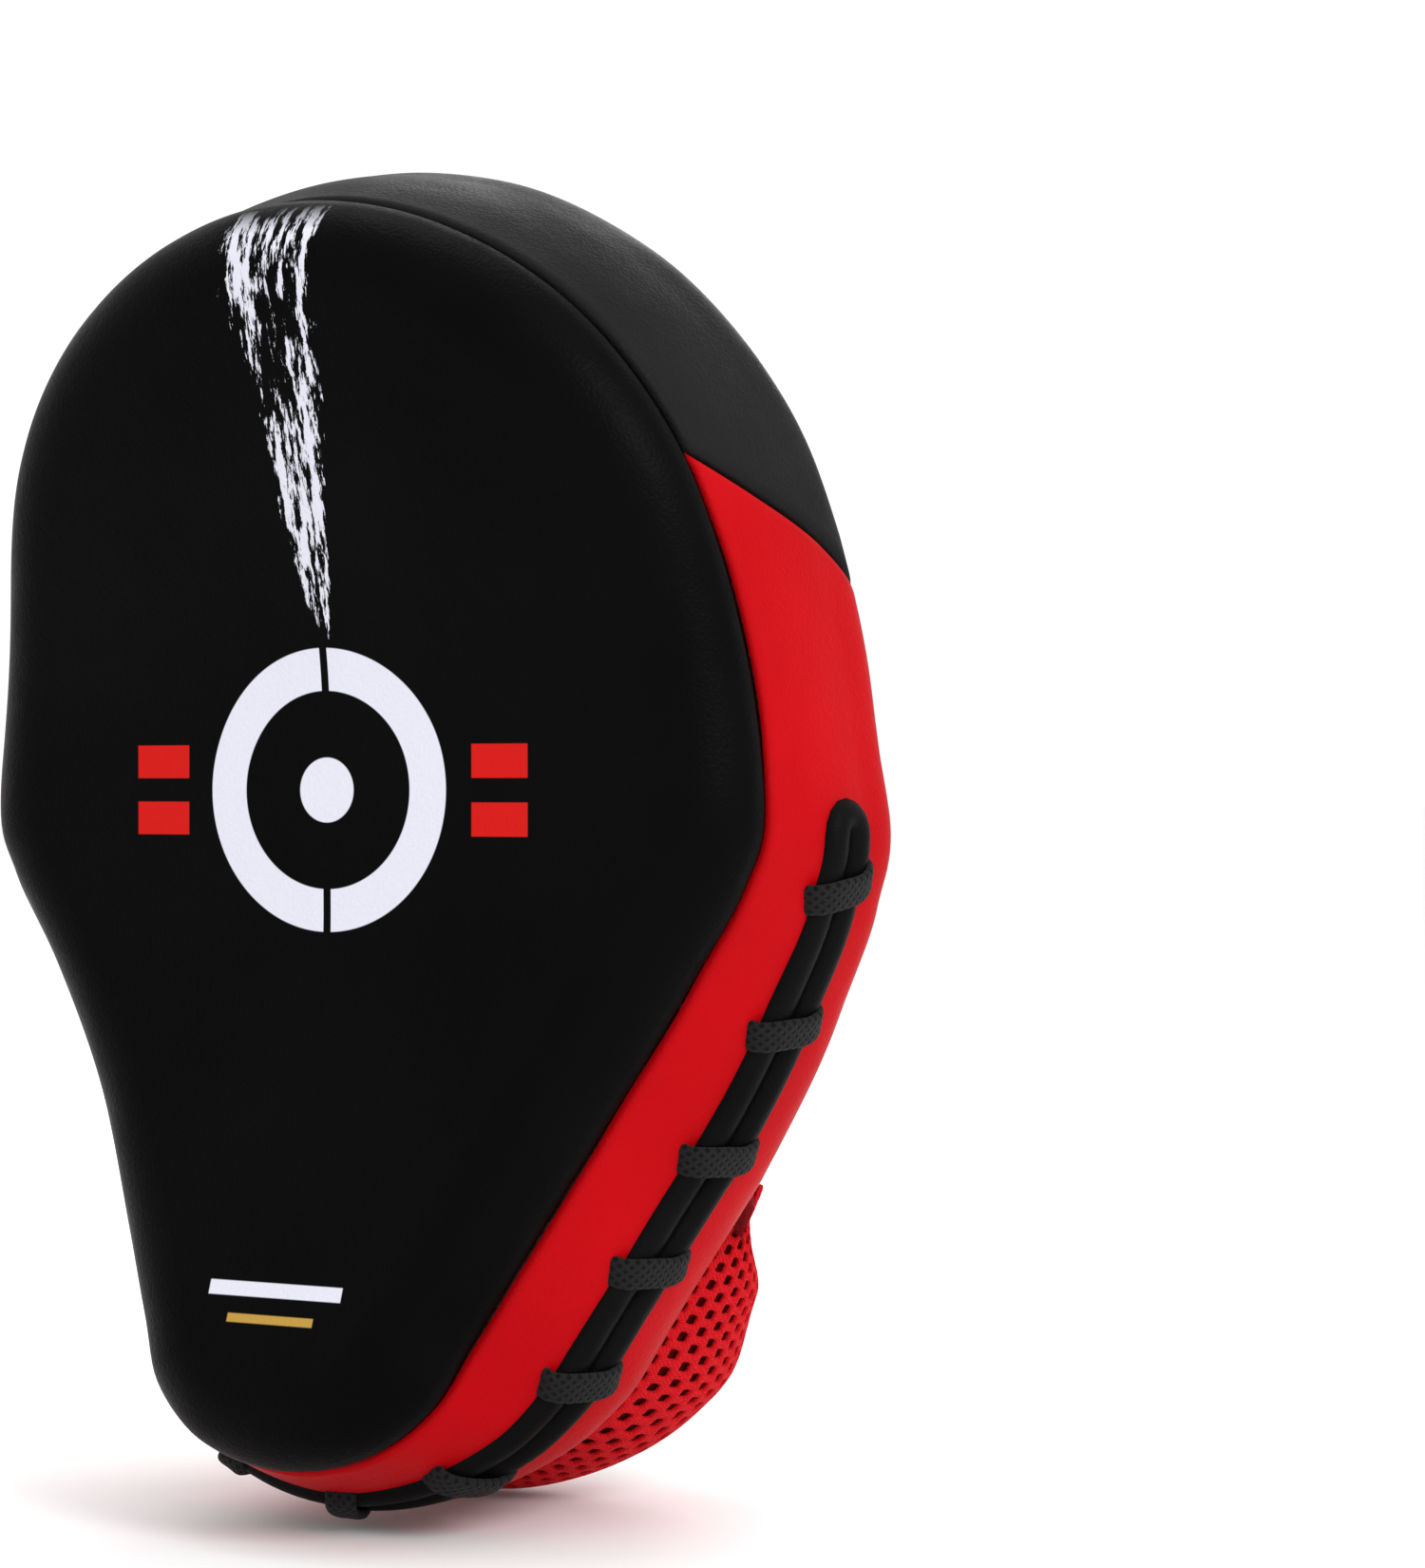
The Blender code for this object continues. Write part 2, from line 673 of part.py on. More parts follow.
def bolster_depth(x, s):
    """Depth of the bolster's cover: a ridge round a ramp that the wrist lies on."""
    ridge_s = BOLSTER_RIM[0][1]
    ridge = mix(BOLSTER_SHOULDER_DEPTH, BOLSTER_PEAK_DEPTH, smoothstep(ridge_s, BOLSTER_FULL_S, s))
    edge = mix(BOLSTER_FLOOR, ridge, smoothstep(BOLSTER_EDGE_S, ridge_s, s))
    middle = mix(BOLSTER_FLOOR, ridge - BOLSTER_DISH, smoothstep(BOLSTER_TOP_S, BOLSTER_FULL_S, s))
    share = min(abs(x) / max(cover_half_width(s), 1 * MM), 1)
    towards_edge = share ** 2 + smoothstep(BOLSTER_FULL_S, BOLSTER_RIM[-1][1], s)
    return mix(middle, edge, min(towards_edge, 1))


def bolster_rim(t):
    """The seam between cover and skirt, t from 0 on the +X side to 1 on the -X side."""
    whole = BOLSTER_RIM + [(-x, s) for x, s in reversed(BOLSTER_RIM[:-1])]
    return curve_through(whole, t)


def skirt(t, v):
    """The mesh skirt, v from 0 at the rim to 1 at the wall, a swollen quarter round."""
    rim_x, rim_s = bolster_rim(t)
    start = u_at(BOLSTER_RIM[0][1] + 1 * MM)
    (x, s), (nx, ns) = outline(mix(start, 1 - start, t))
    offset, foot_n = wall_stations(s)[-1]
    out = offset - 1 * MM
    across = math.sin(v * math.pi / 2)
    swell = SKIRT_SWELL * math.sin(math.pi * v)
    return place(
        mix(rim_x, x + nx * out, across) + nx * swell,
        mix(rim_s, s + ns * out, across) + ns * swell,
        mix(foot_n, bolster_depth(rim_x, rim_s), math.cos(v * math.pi / 2)),
    )


def cover_edge(b):
    """Half width of the cover and its s, from under the band to the foot of the rim."""
    split = 0.45
    if b < split:
        s = mix(BOLSTER_TOP_S - 2 * MM, BOLSTER_RIM[0][1], b / split)
        return cover_half_width(s), s
    return curve_through(BOLSTER_RIM, (b - split) / (1 - split) * 0.9)


def cover(a, b, height):
    x, s = cover_edge(b)
    x = mix(x, -x, a)
    return place(x, s, bolster_depth(x, s) + height)


def make_bolster(mats):
    """Leather ramp, mesh skirt and the foam wedge that they hold."""
    def lower_skirt(a, b):
        return skirt(a, 0.04 + 0.96 * b)

    shell("bolster_cover", cover, (10, 16), (-1.5 * LEATHER, 0), mats["black_leather"])
    shell("bolster_mesh", raised(lower_skirt, BOLSTER_MIDDLE), (24, 5), (-2 * MM, 0), mats["red_mesh"])

    def wedge(a, b):
        s = mix(WEDGE_TOP_S, WEDGE_END_S, b)
        reach = cover_half_width(s) - WEDGE_MARGIN
        x = mix(reach, -reach, a)
        near = (0, 5 * MM)
        lowest = min(bolster_depth(abs(x) - dx, s + ds) for dx in near for ds in near)
        return place(x, s, max(lowest - 5 * MM, PAD_DEPTH + 2 * MM))

    bm = bmesh.new()
    across, along = 8, 9
    floor_n = PAD_DEPTH + GAP
    low, high = {}, {}
    for i in range(across + 1):
        for j in range(along + 1):
            a, b = i / across, j / along
            top = wedge(a, b)
            s = mix(WEDGE_TOP_S, WEDGE_END_S, b)
            high[i, j] = bm.verts.new(top)
            low[i, j] = bm.verts.new(place(top.x, s, floor_n))
    for i in range(across):
        for j in range(along):
            corners = ((i, j), (i + 1, j), (i + 1, j + 1), (i, j + 1))
            bm.faces.new([high[c] for c in corners])
            bm.faces.new([low[c] for c in reversed(corners)])
    border = [(i, 0) for i in range(across)] + [(across, j) for j in range(along)]
    border += [(i, along) for i in range(across, 0, -1)] + [(0, j) for j in range(along, 0, -1)]
    for k, p in enumerate(border):
        q = border[(k + 1) % len(border)]
        bm.faces.new((high[p], low[p], low[q], high[q]))
    add_object("bolster_foam", bm, mats["foam_soft"])


def main():
    clear_scene()
    mats = {
        "black_leather": material("black_leather", (0.012, 0.011, 0.011), 0.45),
        "red_leather": material("red_leather", (0.55, 0.008, 0.01), 0.42),
        "white_leather": material("white_leather", (0.78, 0.78, 0.79), 0.45),
        "red_mesh": material("red_mesh", (0.5, 0.006, 0.014), 0.8),
        "lace": material("lace", (0.014, 0.014, 0.015), 0.85),
        "foam_firm": material("foam_firm", (0.06, 0.06, 0.065), 0.9),
        "foam_soft": material("foam_soft", (0.35, 0.35, 0.33), 0.95),
    }
    make_strike_cover(mats["black_leather"])
    make_foam(mats)
    make_back_panel(mats["black_leather"])
    make_wall(mats)
    make_slot(mats)
    make_hood(mats)
    make_band(mats)
    make_bolster(mats)


main()
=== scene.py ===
"""Looks for a curved boxing focus mitt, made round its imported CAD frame.

Metres, +Z to the fingertips, -Y out of the striking face. A place on the mitt is
(x, s, n): across it, along its bent spine, and deep from the face towards the hand.
"""
import math

import bpy
import bmesh
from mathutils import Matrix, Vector, noise


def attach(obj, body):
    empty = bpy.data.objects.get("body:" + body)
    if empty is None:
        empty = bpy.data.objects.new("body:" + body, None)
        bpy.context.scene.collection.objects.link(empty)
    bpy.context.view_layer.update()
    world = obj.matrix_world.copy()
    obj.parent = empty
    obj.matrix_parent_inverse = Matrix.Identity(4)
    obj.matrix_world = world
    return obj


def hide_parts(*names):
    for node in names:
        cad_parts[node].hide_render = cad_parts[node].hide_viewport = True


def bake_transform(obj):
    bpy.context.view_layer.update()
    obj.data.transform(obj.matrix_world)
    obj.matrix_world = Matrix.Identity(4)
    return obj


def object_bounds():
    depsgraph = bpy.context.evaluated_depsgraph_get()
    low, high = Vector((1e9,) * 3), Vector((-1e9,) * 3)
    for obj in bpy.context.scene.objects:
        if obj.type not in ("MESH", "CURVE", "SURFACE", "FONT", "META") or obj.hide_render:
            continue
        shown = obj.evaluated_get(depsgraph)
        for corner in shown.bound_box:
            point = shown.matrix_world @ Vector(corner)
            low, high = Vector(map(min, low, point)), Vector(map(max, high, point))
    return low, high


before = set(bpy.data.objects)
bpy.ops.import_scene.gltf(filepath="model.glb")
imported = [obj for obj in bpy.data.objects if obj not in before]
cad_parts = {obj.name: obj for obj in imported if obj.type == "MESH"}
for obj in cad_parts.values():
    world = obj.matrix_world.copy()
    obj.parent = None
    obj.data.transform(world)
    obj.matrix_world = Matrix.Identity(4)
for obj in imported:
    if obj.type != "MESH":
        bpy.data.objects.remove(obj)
cad_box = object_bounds()

MM = 0.001

# Pad and its bent spine, as in the CAD.
PAD_DEPTH = 64 * MM
FACE_ROUND = 18 * MM
BEND_RADIUS = 150 * MM
FLAT_HALF = 16 * MM
TILT_FINGERS = math.radians(15)
TILT_WRIST = math.radians(19)
WALL_LEAN = 0.55
HEAD_RADIUS = 93 * MM
HEAD_CENTRE_S = 43 * MM
HEAD_ARC_DEGREES = (90, 70, 50, 30, 10)
SIDE_KNOTS_MM = (
    (99.5, 8), (94.5, -12), (82.5, -31), (66, -58), (51, -88),
    (41.5, -108), (34, -123), (20, -134), (0, -138),
)

# Side wall: (outward offset, depth) from the face seam to the back edge.
WALL_UPPER_MM = ((0, 18.3), (3, 32), (4.5, 47), (4, 60), (-4, 66))
WALL_LOWER_MM = ((0, 18.3), (9.5, 32.5), (13.5, 49), (13.5, 63), (6.5, 74))
FLARE_START_S = 25 * MM
FLARE_FULL_S = -55 * MM
FLARE_FADE_S = -106 * MM
SPINE_END_S = -138 * MM
WRIST_END_FLARE = 0.0
WAIST_WRAP = 9 * MM
WAIST_WRAP_S = -6 * MM
WAIST_WRAP_SPAN = 34 * MM

# Gusset seam, slot, welts and lace.
GUSSET_SEAM_FRONT_S = 78 * MM
GUSSET_SEAM_BACK_S = 35 * MM
SLOT_TOP_S = 6 * MM
SLOT_MIDDLE = 0.395
SLOT_HALF = 6.2 * MM
SLOT_SINK = 1.1 * MM
WELT_RADIUS = 3.9 * MM
WELT_OFFSET = 3.9 * MM
LACE_WIDTH = 7 * MM
LACE_THICK = 2.1 * MM
LACE_CROSSINGS = 13
LACE_START = 9 * MM
LACE_LEAN = 3.4 * MM

# Hood.
HOOD_SEAM_MM = ((27, 129), (40, 101), (59, 78), (78, 59), (87, 49), (90, 30), (86, 5), (78, -11))
HOOD_MOUTH_MM = ((0, 0), (0.25, 3), (0.47, 12), (0.7, 24), (0.86, 15), (1, -11))
HOOD_RISE = 56 * MM
HOOD_BASE_DEPTH = 67.5 * MM
HOOD_CREST_S = 35 * MM
HOOD_TOP_S = 132 * MM
TAPE_OUTER = 11.5 * MM
TAPE_REACH = 12.5 * MM
TAPE_STITCH = 0.62
CRESCENT_START_S = 46 * MM
CRESCENT_HEIGHT = 7.5 * MM
CRESCENT_SLOPE = 0.32
PATCH_EDGE_MM = (
    (20, 126), (30, 111), (41, 94), (54, 76), (61, 58),
    (60, 44), (50, 31), (37, 20), (18, 12), (0, 9),
)
MESH_PITCH = 4.9 * MM
MESH_ROW_RATIO = 0.866
MESH_HOLE = 0.55
HOOD_NET_FOOT_S = -14 * MM
NET_UNDER_PATCH = 9 * MM
LEAST_MESH_CELL = 3 * MM * MM

# Hand band.
BAND_TOP_S = -13 * MM
BAND_BOTTOM_S = -66 * MM
BAND_TALL = BAND_TOP_S - BAND_BOTTOM_S
BAND_RISE = 29 * MM
BAND_EDGE_DEPTH = 75.5 * MM
TONGUE_HALF_WIDTH = 60 * MM
TONGUE_TOP_S = 46 * MM

# Wrist bolster.
BOLSTER_TOP_S = -58 * MM
BOLSTER_TOP_HALF = 34 * MM
BOLSTER_EDGE_S = -59 * MM
BOLSTER_FULL_S = -100 * MM
BOLSTER_FLOOR = 67 * MM
BOLSTER_SHOULDER_DEPTH = 104 * MM
BOLSTER_PEAK_DEPTH = 117 * MM
BOLSTER_DISH = 8 * MM
BOLSTER_RIM_MM = ((49, -80), (47, -88), (40, -98), (25, -109), (0, -115))
SKIRT_SWELL = 9 * MM
SKIRT_TOP_S = -61 * MM

# Thickness of the sheets, and half sizes (across, out) of the rolls and cords.
LEATHER_THICK = 1.4 * MM
BAND_THICK = 1.8 * MM
NET_THICK = 1.3 * MM
BACKING_THICK = 0.8 * MM
HOOD_CORD = (2.0 * MM, 2.1 * MM)
HOOD_MOUTH_ROLL = (2.6 * MM, 1.9 * MM)
BAND_HEM = (1.7 * MM, 1.5 * MM)
BAND_LOWER_ROLL = (2.3 * MM, 2.2 * MM)

# Stitches, and how far their rows stand from the edges.
STITCH_PITCH = 3.3 * MM
STITCH_LENGTH = 2.3 * MM
STITCH_RADIUS = 0.38 * MM
PATCH_STITCHES = (2.6 * MM, 6.6 * MM)
TONGUE_STITCHES = (2.8 * MM, 6.5 * MM)
BAND_TOP_STITCHES = (3 * MM, 7.5 * MM)
BAND_SEAM_STITCH = 1.8 * MM
BAND_FOOT_STITCH = 3 * MM


# Mathematics of the shape.

def mix(a, b, t):
    return a + (b - a) * t


def smoothstep(start, end, value):
    t = min(max((value - start) / (end - start), 0.0), 1.0)
    return t * t * (3 - 2 * t)


def curve_through(points, t):
    """Catmull-Rom curve through points, with t from 0 at the first to 1 at the last."""
    last = len(points) - 1
    place_on = min(max(t, 0.0), 1.0) * last
    i = min(int(place_on), last - 1)
    f = place_on - i
    p1, p2 = points[i], points[i + 1]
    p0 = points[i - 1] if i > 0 else tuple(2 * a - b for a, b in zip(p1, p2))
    p3 = points[i + 2] if i + 2 <= last else tuple(2 * b - a for a, b in zip(p1, p2))
    return tuple(
        0.5 * (2 * b + (c - a) * f + (2 * a - 5 * b + 4 * c - d) * f * f + (3 * b - a - 3 * c + d) * f ** 3)
        for a, b, c, d in zip(p0, p1, p2, p3)
    )


def in_metres(pairs):
    return [(a * MM, b * MM) for a, b in pairs]


def spine(s):
    """How far the face has come forward at s, its height, and its tilt."""
    side = 1.0 if s > 0 else -1.0
    run = max(abs(s) - FLAT_HALF, 0.0)
    limit = TILT_FINGERS if s > 0 else TILT_WRIST
    tilt = min(run / BEND_RADIUS, limit)
    straight = run - tilt * BEND_RADIUS
    forward = BEND_RADIUS * (1 - math.cos(tilt)) + straight * math.sin(tilt)
    height = min(abs(s), FLAT_HALF) + BEND_RADIUS * math.sin(tilt) + straight * math.cos(tilt)
    return forward, side * height, side * tilt


def width_on(edge, s, beyond):
    """Half width where an edge that runs down the mitt passes s, or beyond where it doesn't."""
    for (x0, s0), (x1, s1) in zip(edge, edge[1:]):
        if s0 >= s >= s1 and s0 > s1:
            return mix(x0, x1, (s0 - s) / (s0 - s1))
    return beyond


def place(x, s, n):
    """The point of space at (x, s, n) on the bent mitt."""
    forward, height, tilt = spine(s)
    lean = WALL_LEAN * tilt
    return Vector((x, n * math.cos(lean) - PAD_DEPTH - forward, height + n * math.sin(lean)))


def even_steps(fine, steps):
    """steps + 1 points at even arc lengths along fine, and its whole length."""
    lengths = [0.0]
    for (x0, s0), (x1, s1) in zip(fine, fine[1:]):
        lengths.append(lengths[-1] + math.hypot(x1 - x0, s1 - s0))
    points = []
    j = 0
    for k in range(steps + 1):
        target = lengths[-1] * k / steps
        while j < len(fine) - 2 and lengths[j + 1] < target:
            j += 1
        f = (target - lengths[j]) / (lengths[j + 1] - lengths[j])
        points.append((mix(fine[j][0], fine[j + 1][0], f), mix(fine[j][1], fine[j + 1][1], f)))
    return points, lengths[-1]


def trace_outline(steps=900):
    """The closed outline of the pad at its face seam, as even steps of arc length."""
    knots = []
    for degrees in HEAD_ARC_DEGREES:
        angle = math.radians(degrees)
        knots.append((HEAD_RADIUS * math.cos(angle), HEAD_CENTRE_S + HEAD_RADIUS * math.sin(angle)))
    knots += in_metres(SIDE_KNOTS_MM)
    loop = knots + [(-x, s) for x, s in reversed(knots[1:-1])]
    fine = []
    count = len(loop)
    for i in range(count):
        span = [loop[(i + k) % count] for k in (-1, 0, 1, 2)]
        for k in range(40):
            fine.append(curve_through(span, (1 + k / 40) / 3))
    fine.append(fine[0])
    points, length = even_steps(fine, steps)
    return points[:-1], length


OUTLINE, OUTLINE_LENGTH = trace_outline()


def outline(u):
    """Point and outward normal at u, from 0 at the finger end, round by +X."""
    count = len(OUTLINE)
    at = (u % 1.0) * count
    i = int(at) % count
    f = at - int(at)
    a, b = OUTLINE[i], OUTLINE[(i + 1) % count]
    before, after = OUTLINE[(i - 4) % count], OUTLINE[(i + 5) % count]
    dx, ds = after[0] - before[0], after[1] - before[1]
    size = math.hypot(dx, ds)
    return (mix(a[0], b[0], f), mix(a[1], b[1], f)), (-ds / size, dx / size)


def u_at(s):
    """The outline's u on the +X side where it passes s."""
    for i in range(len(OUTLINE) // 2):
        above, below = OUTLINE[i][1], OUTLINE[i + 1][1]
        if above >= s > below:
            return (i + (above - s) / (above - below)) / len(OUTLINE)
    return 0.5


def rim(u, offset, n):
    (x, s), (nx, ns) = outline(u)
    return place(x + nx * offset, s + ns * offset, n)


def wall_stations(s):
    """The wall's cross-section at s, as (outward offset, depth) pairs."""
    flare = 1 - smoothstep(FLARE_FULL_S, FLARE_START_S, s)
    side_flare = flare * mix(WRIST_END_FLARE, 1.0, smoothstep(SPINE_END_S, FLARE_FADE_S, s))
    stations = []
    for (offset_up, depth_up), (offset_low, depth_low) in zip(WALL_UPPER_MM, WALL_LOWER_MM):
        stations.append((mix(offset_up, offset_low, side_flare) * MM, mix(depth_up, depth_low, flare) * MM))
    wrap = WAIST_WRAP * math.exp(-((s - WAIST_WRAP_S) / WAIST_WRAP_SPAN) ** 2)
    offset, depth = stations[-1]
    stations[-1] = (offset - wrap, depth + 0.15 * wrap)
    return stations


def wall(u, v):
    """The wall's outer surface, with v from 0 at the face seam to 1 at the back edge."""
    (_, s), _ = outline(u)
    offset, depth = curve_through(wall_stations(s), v)
    return rim(u, offset, depth)


def back_edge(s):
    """Half width and depth where the wall ends on the hand side."""
    offset, depth = wall_stations(s)[-1]
    return outline(u_at(s))[0][0] + offset, depth


def gusset_u(v):
    return u_at(mix(GUSSET_SEAM_FRONT_S, GUSSET_SEAM_BACK_S, v))


# Surfaces of the hood, band and bolster.

HOOD_SEAM = in_metres(HOOD_SEAM_MM)
PATCH_EDGE = in_metres(PATCH_EDGE_MM)
BOLSTER_RIM = in_metres(BOLSTER_RIM_MM)


def hood_half_width(s):
    """The hood seam's half width at s."""
    if s >= HOOD_SEAM[0][1]:
        return HOOD_SEAM[0][0]
    return width_on(HOOD_SEAM, s, HOOD_SEAM[-1][0])


def hood_depth(x, s):
    """Depth of the hood's outer surface over x and s."""
    crown = HOOD_RISE * (1 - smoothstep(HOOD_CREST_S, HOOD_TOP_S, s)) ** 0.5
    share = min(abs(x) / hood_half_width(s), 1.0)
    return HOOD_BASE_DEPTH + crown * (1 - share ** 2.4) ** 0.72


def tabulate(function, count=200):
    return [function(k / (count - 1)) for k in range(count)]


MOUTH_TABLE = tabulate(lambda t: curve_through([(p, q * MM) for p, q in HOOD_MOUTH_MM], t))
PATCH_TABLE = tabulate(lambda t: curve_through(PATCH_EDGE, t))


def mouth_s(share):
    for p, s in MOUTH_TABLE:
        if p >= abs(share):
            return s
    return MOUTH_TABLE[-1][1]


def patch_half_width(s):
    """Half width of the patch at s, and below 0 outside it."""
    return width_on(PATCH_TABLE, s, -1.0)


def patch(a, b):
    """The leather patch on the crown, bounded by its own edge curve."""
    x, s = curve_through(PATCH_EDGE, b)
    x = mix(x, -x, a)
    dip = 4 * MM * b * (1 - b)
    return place(x, s - dip, hood_depth(x, s))


def band_half_width(s):
    return back_edge(s)[0] - 1.5 * MM


def band_depth(x, s):
    """Depth of the band's outer surface: an arch over the back of the hand."""
    reach = band_half_width(min(s, BAND_TOP_S))
    share = min(abs(x) / reach, 1.0)
    return BAND_EDGE_DEPTH + BAND_RISE * (1 - share ** 2.6) ** 0.75


def seam_half_width(s):
    """Half width of the band's centre panel, which narrows towards the wrist."""
    return mix(TONGUE_HALF_WIDTH, 49 * MM, (s - BAND_TOP_S) / (BAND_BOTTOM_S - BAND_TOP_S))


def cover_half_width(s):
    """Half width of the bolster's cover at s."""
    rim_x, rim_s = BOLSTER_RIM[0]
    if s >= rim_s:
        return mix(BOLSTER_TOP_HALF, rim_x, min((BOLSTER_TOP_S - s) / (BOLSTER_TOP_S - rim_s), 1))
    return width_on(BOLSTER_RIM, s, 0.0)


def bolster_depth(x, s):
    """Depth of the bolster's cover: a ridge round a ramp that the wrist lies on."""
    ridge_s = BOLSTER_RIM[0][1]
    ridge = mix(BOLSTER_SHOULDER_DEPTH, BOLSTER_PEAK_DEPTH, smoothstep(ridge_s, BOLSTER_FULL_S, s))
    edge = mix(BOLSTER_FLOOR, ridge, smoothstep(BOLSTER_EDGE_S, ridge_s, s))
    middle = mix(BOLSTER_FLOOR, ridge - BOLSTER_DISH, smoothstep(BOLSTER_TOP_S, BOLSTER_FULL_S, s))
    share = min(abs(x) / max(cover_half_width(s), 1 * MM), 1)
    towards_edge = share ** 2 + smoothstep(BOLSTER_FULL_S, BOLSTER_RIM[-1][1], s)
    return mix(middle, edge, min(towards_edge, 1))


def trace_rim():
    """The seam between cover and skirt in even steps, from under the band on the +X side."""
    hidden = [(cover_half_width(s), s) for s in (SKIRT_TOP_S, SKIRT_TOP_S - 6 * MM, SKIRT_TOP_S - 12 * MM)]
    half = hidden + BOLSTER_RIM
    whole = half + [(-x, s) for x, s in reversed(half[:-1])]
    fine = [curve_through(whole, k / 600) for k in range(601)]
    return even_steps(fine, 300)[0]


RIM = trace_rim()


def skirt(t, v):
    """The mesh skirt, v from 0 at the rim to 1 at the wall, a swollen quarter round."""
    at = min(max(t, 0.0), 1.0) * (len(RIM) - 1)
    i = min(int(at), len(RIM) - 2)
    rim_x, rim_s = mix(RIM[i][0], RIM[i + 1][0], at - i), mix(RIM[i][1], RIM[i + 1][1], at - i)
    start = u_at(SKIRT_TOP_S)
    (x, s), (nx, ns) = outline(mix(start, 1 - start, t))
    offset, foot_n = wall_stations(s)[-1]
    out = offset - 1 * MM
    across = math.sin(v * math.pi / 2)
    swell = SKIRT_SWELL * math.sin(math.pi * v)
    return place(
        mix(rim_x, x + nx * out, across) + nx * swell,
        mix(rim_s, s + ns * out, across) + ns * swell,
        mix(foot_n, bolster_depth(rim_x, rim_s), math.cos(v * math.pi / 2)),
    )


def cover_edge(b):
    """Half width of the cover and its s, from under the band to the foot of the rim."""
    split = 0.45
    if b < split:
        s = mix(BOLSTER_TOP_S - 2 * MM, BOLSTER_RIM[0][1], b / split)
        return cover_half_width(s), s
    return curve_through(BOLSTER_RIM, (b - split) / (1 - split))


# Materials. Every texture lies in object space, where each object sits at the origin.

class Nodes:
    """A material's node tree and its slot, with short calls for what the materials here need."""

    def __init__(self, name, slot=None):
        self.slot = slot
        self.mat = bpy.data.materials.new(name)
        self.mat.use_nodes = True
        self.tree = self.mat.node_tree
        self.shader = self.tree.nodes["Principled BSDF"]
        self.where = self.add("ShaderNodeTexCoord").outputs["Object"]

    def add(self, kind, **settings):
        node = self.tree.nodes.new(kind)
        for key, value in settings.items():
            setattr(node, key, value)
        return node

    def link(self, source, socket):
        self.tree.links.new(source, socket)

    def fill(self, node, **values):
        """Sets a node's inputs: a number or a colour is its value, and anything else is linked."""
        for key, value in values.items():
            socket = node.inputs[key.replace("_", " ")]
            if isinstance(value, (int, float)):
                socket.default_value = value
            elif isinstance(value, tuple):
                socket.default_value = (*value, 1.0)
            else:
                self.link(value, socket)
        return node

    def noise(self, scale, detail=3.0, vector=None, roughness=0.5):
        node = self.add("ShaderNodeTexNoise")
        self.fill(node, Scale=scale, Detail=detail, Roughness=roughness, Vector=vector or self.where)
        return node.outputs["Fac"]

    def cells(self, scale):
        node = self.add("ShaderNodeTexVoronoi", feature="F1")
        return self.fill(node, Scale=scale, Vector=self.where).outputs["Distance"]

    def ramp(self, source, low, high, start=0.0, end=1.0):
        """Source from start..end mapped to low..high, held at the ends."""
        node = self.add("ShaderNodeMapRange")
        self.fill(node, From_Min=start, From_Max=end, To_Min=low, To_Max=high, Value=source)
        return node.outputs["Result"]

    def maths(self, operation, *values):
        node = self.add("ShaderNodeMath", operation=operation)
        for value, socket in zip(values, node.inputs):
            if isinstance(value, (int, float)):
                socket.default_value = value
            else:
                self.link(value, socket)
        return node.outputs["Value"]

    def blend(self, share, first, second):
        """Colour first where share is 0, second where it is 1. Either may be a tuple."""
        node = self.add("ShaderNodeMix", data_type="RGBA")
        self.link(share, node.inputs["Factor"])
        for value, key in ((first, "A_Color"), (second, "B_Color")):
            socket = next(s for s in node.inputs if s.identifier == key)
            if isinstance(value, tuple):
                socket.default_value = (*value, 1.0)
            else:
                self.link(value, socket)
        return next(s for s in node.outputs if s.identifier == "Result_Color")

    def bump(self, height, distance, strength=1.0, under=None):
        node = self.fill(self.add("ShaderNodeBump"), Distance=distance, Strength=strength, Height=height)
        if under is not None:
            self.link(under, node.inputs["Normal"])
        return node.outputs["Normal"]

    def set(self, **values):
        self.fill(self.shader, **values)


def leather(name, slot, dark, light, roughness, grain=0.10 * MM, crease=0.25 * MM, gloss=0.10):
    """Coated leather: pebbled grain, soft pull creases, and colour that drifts a little."""
    m = Nodes(name, slot)
    drift = m.ramp(m.noise(22, 4), 0, 1, 0.3, 0.7)
    colour = m.blend(drift, dark, light)
    pebbles = m.ramp(m.cells(1150), 0, 1, 0.0, 0.75)
    pores = m.noise(2600, 2)
    height = m.maths("ADD", m.maths("MULTIPLY", pebbles, 0.7), m.maths("MULTIPLY", pores, 0.3))
    folds = m.bump(m.noise(85, 5, roughness=0.62), crease)
    m.set(
        Base_Color=colour,
        Roughness=m.ramp(m.maths("ADD", m.noise(60, 3), m.maths("MULTIPLY", pebbles, 0.25)),
                         roughness - 0.07, roughness + 0.09, 0.3, 0.9),
        Normal=m.bump(height, grain, 0.8, folds),
        Specular_IOR_Level=gloss,
    )
    return m


def knit(name, slot, dark, light):
    """Spacer mesh yarn: fine loops that run in two directions, with a soft sheen."""
    m = Nodes(name, slot)
    threads = []
    for way in ("X", "Z"):
        wave = m.add("ShaderNodeTexWave", bands_direction=way)
        m.fill(wave, Scale=620, Distortion=3.0, Detail_Scale=2.0, Vector=m.where)
        threads.append(wave.outputs["Fac"])
    loops = m.maths("MULTIPLY", *threads)
    fuzz = m.noise(1900, 4)
    height = m.maths("ADD", loops, m.maths("MULTIPLY", fuzz, 0.6))
    # The colour follows the knit's height: painted shade in the hollows between loops and painted highlight
    # on the loop tops; the fuzz adds tone that differs at random.
    m.set(
        Base_Color=m.blend(m.ramp(height, 0, 1, 0.15, 1.2), dark, light),
        Roughness=0.82,
        Normal=m.bump(height, 0.35 * MM, 0.9),
        Specular_IOR_Level=0.1,
        Sheen_Weight=0.05,
        Sheen_Roughness=0.4,
        Sheen_Tint=(1.0, 0.2, 0.2),
    )
    return m


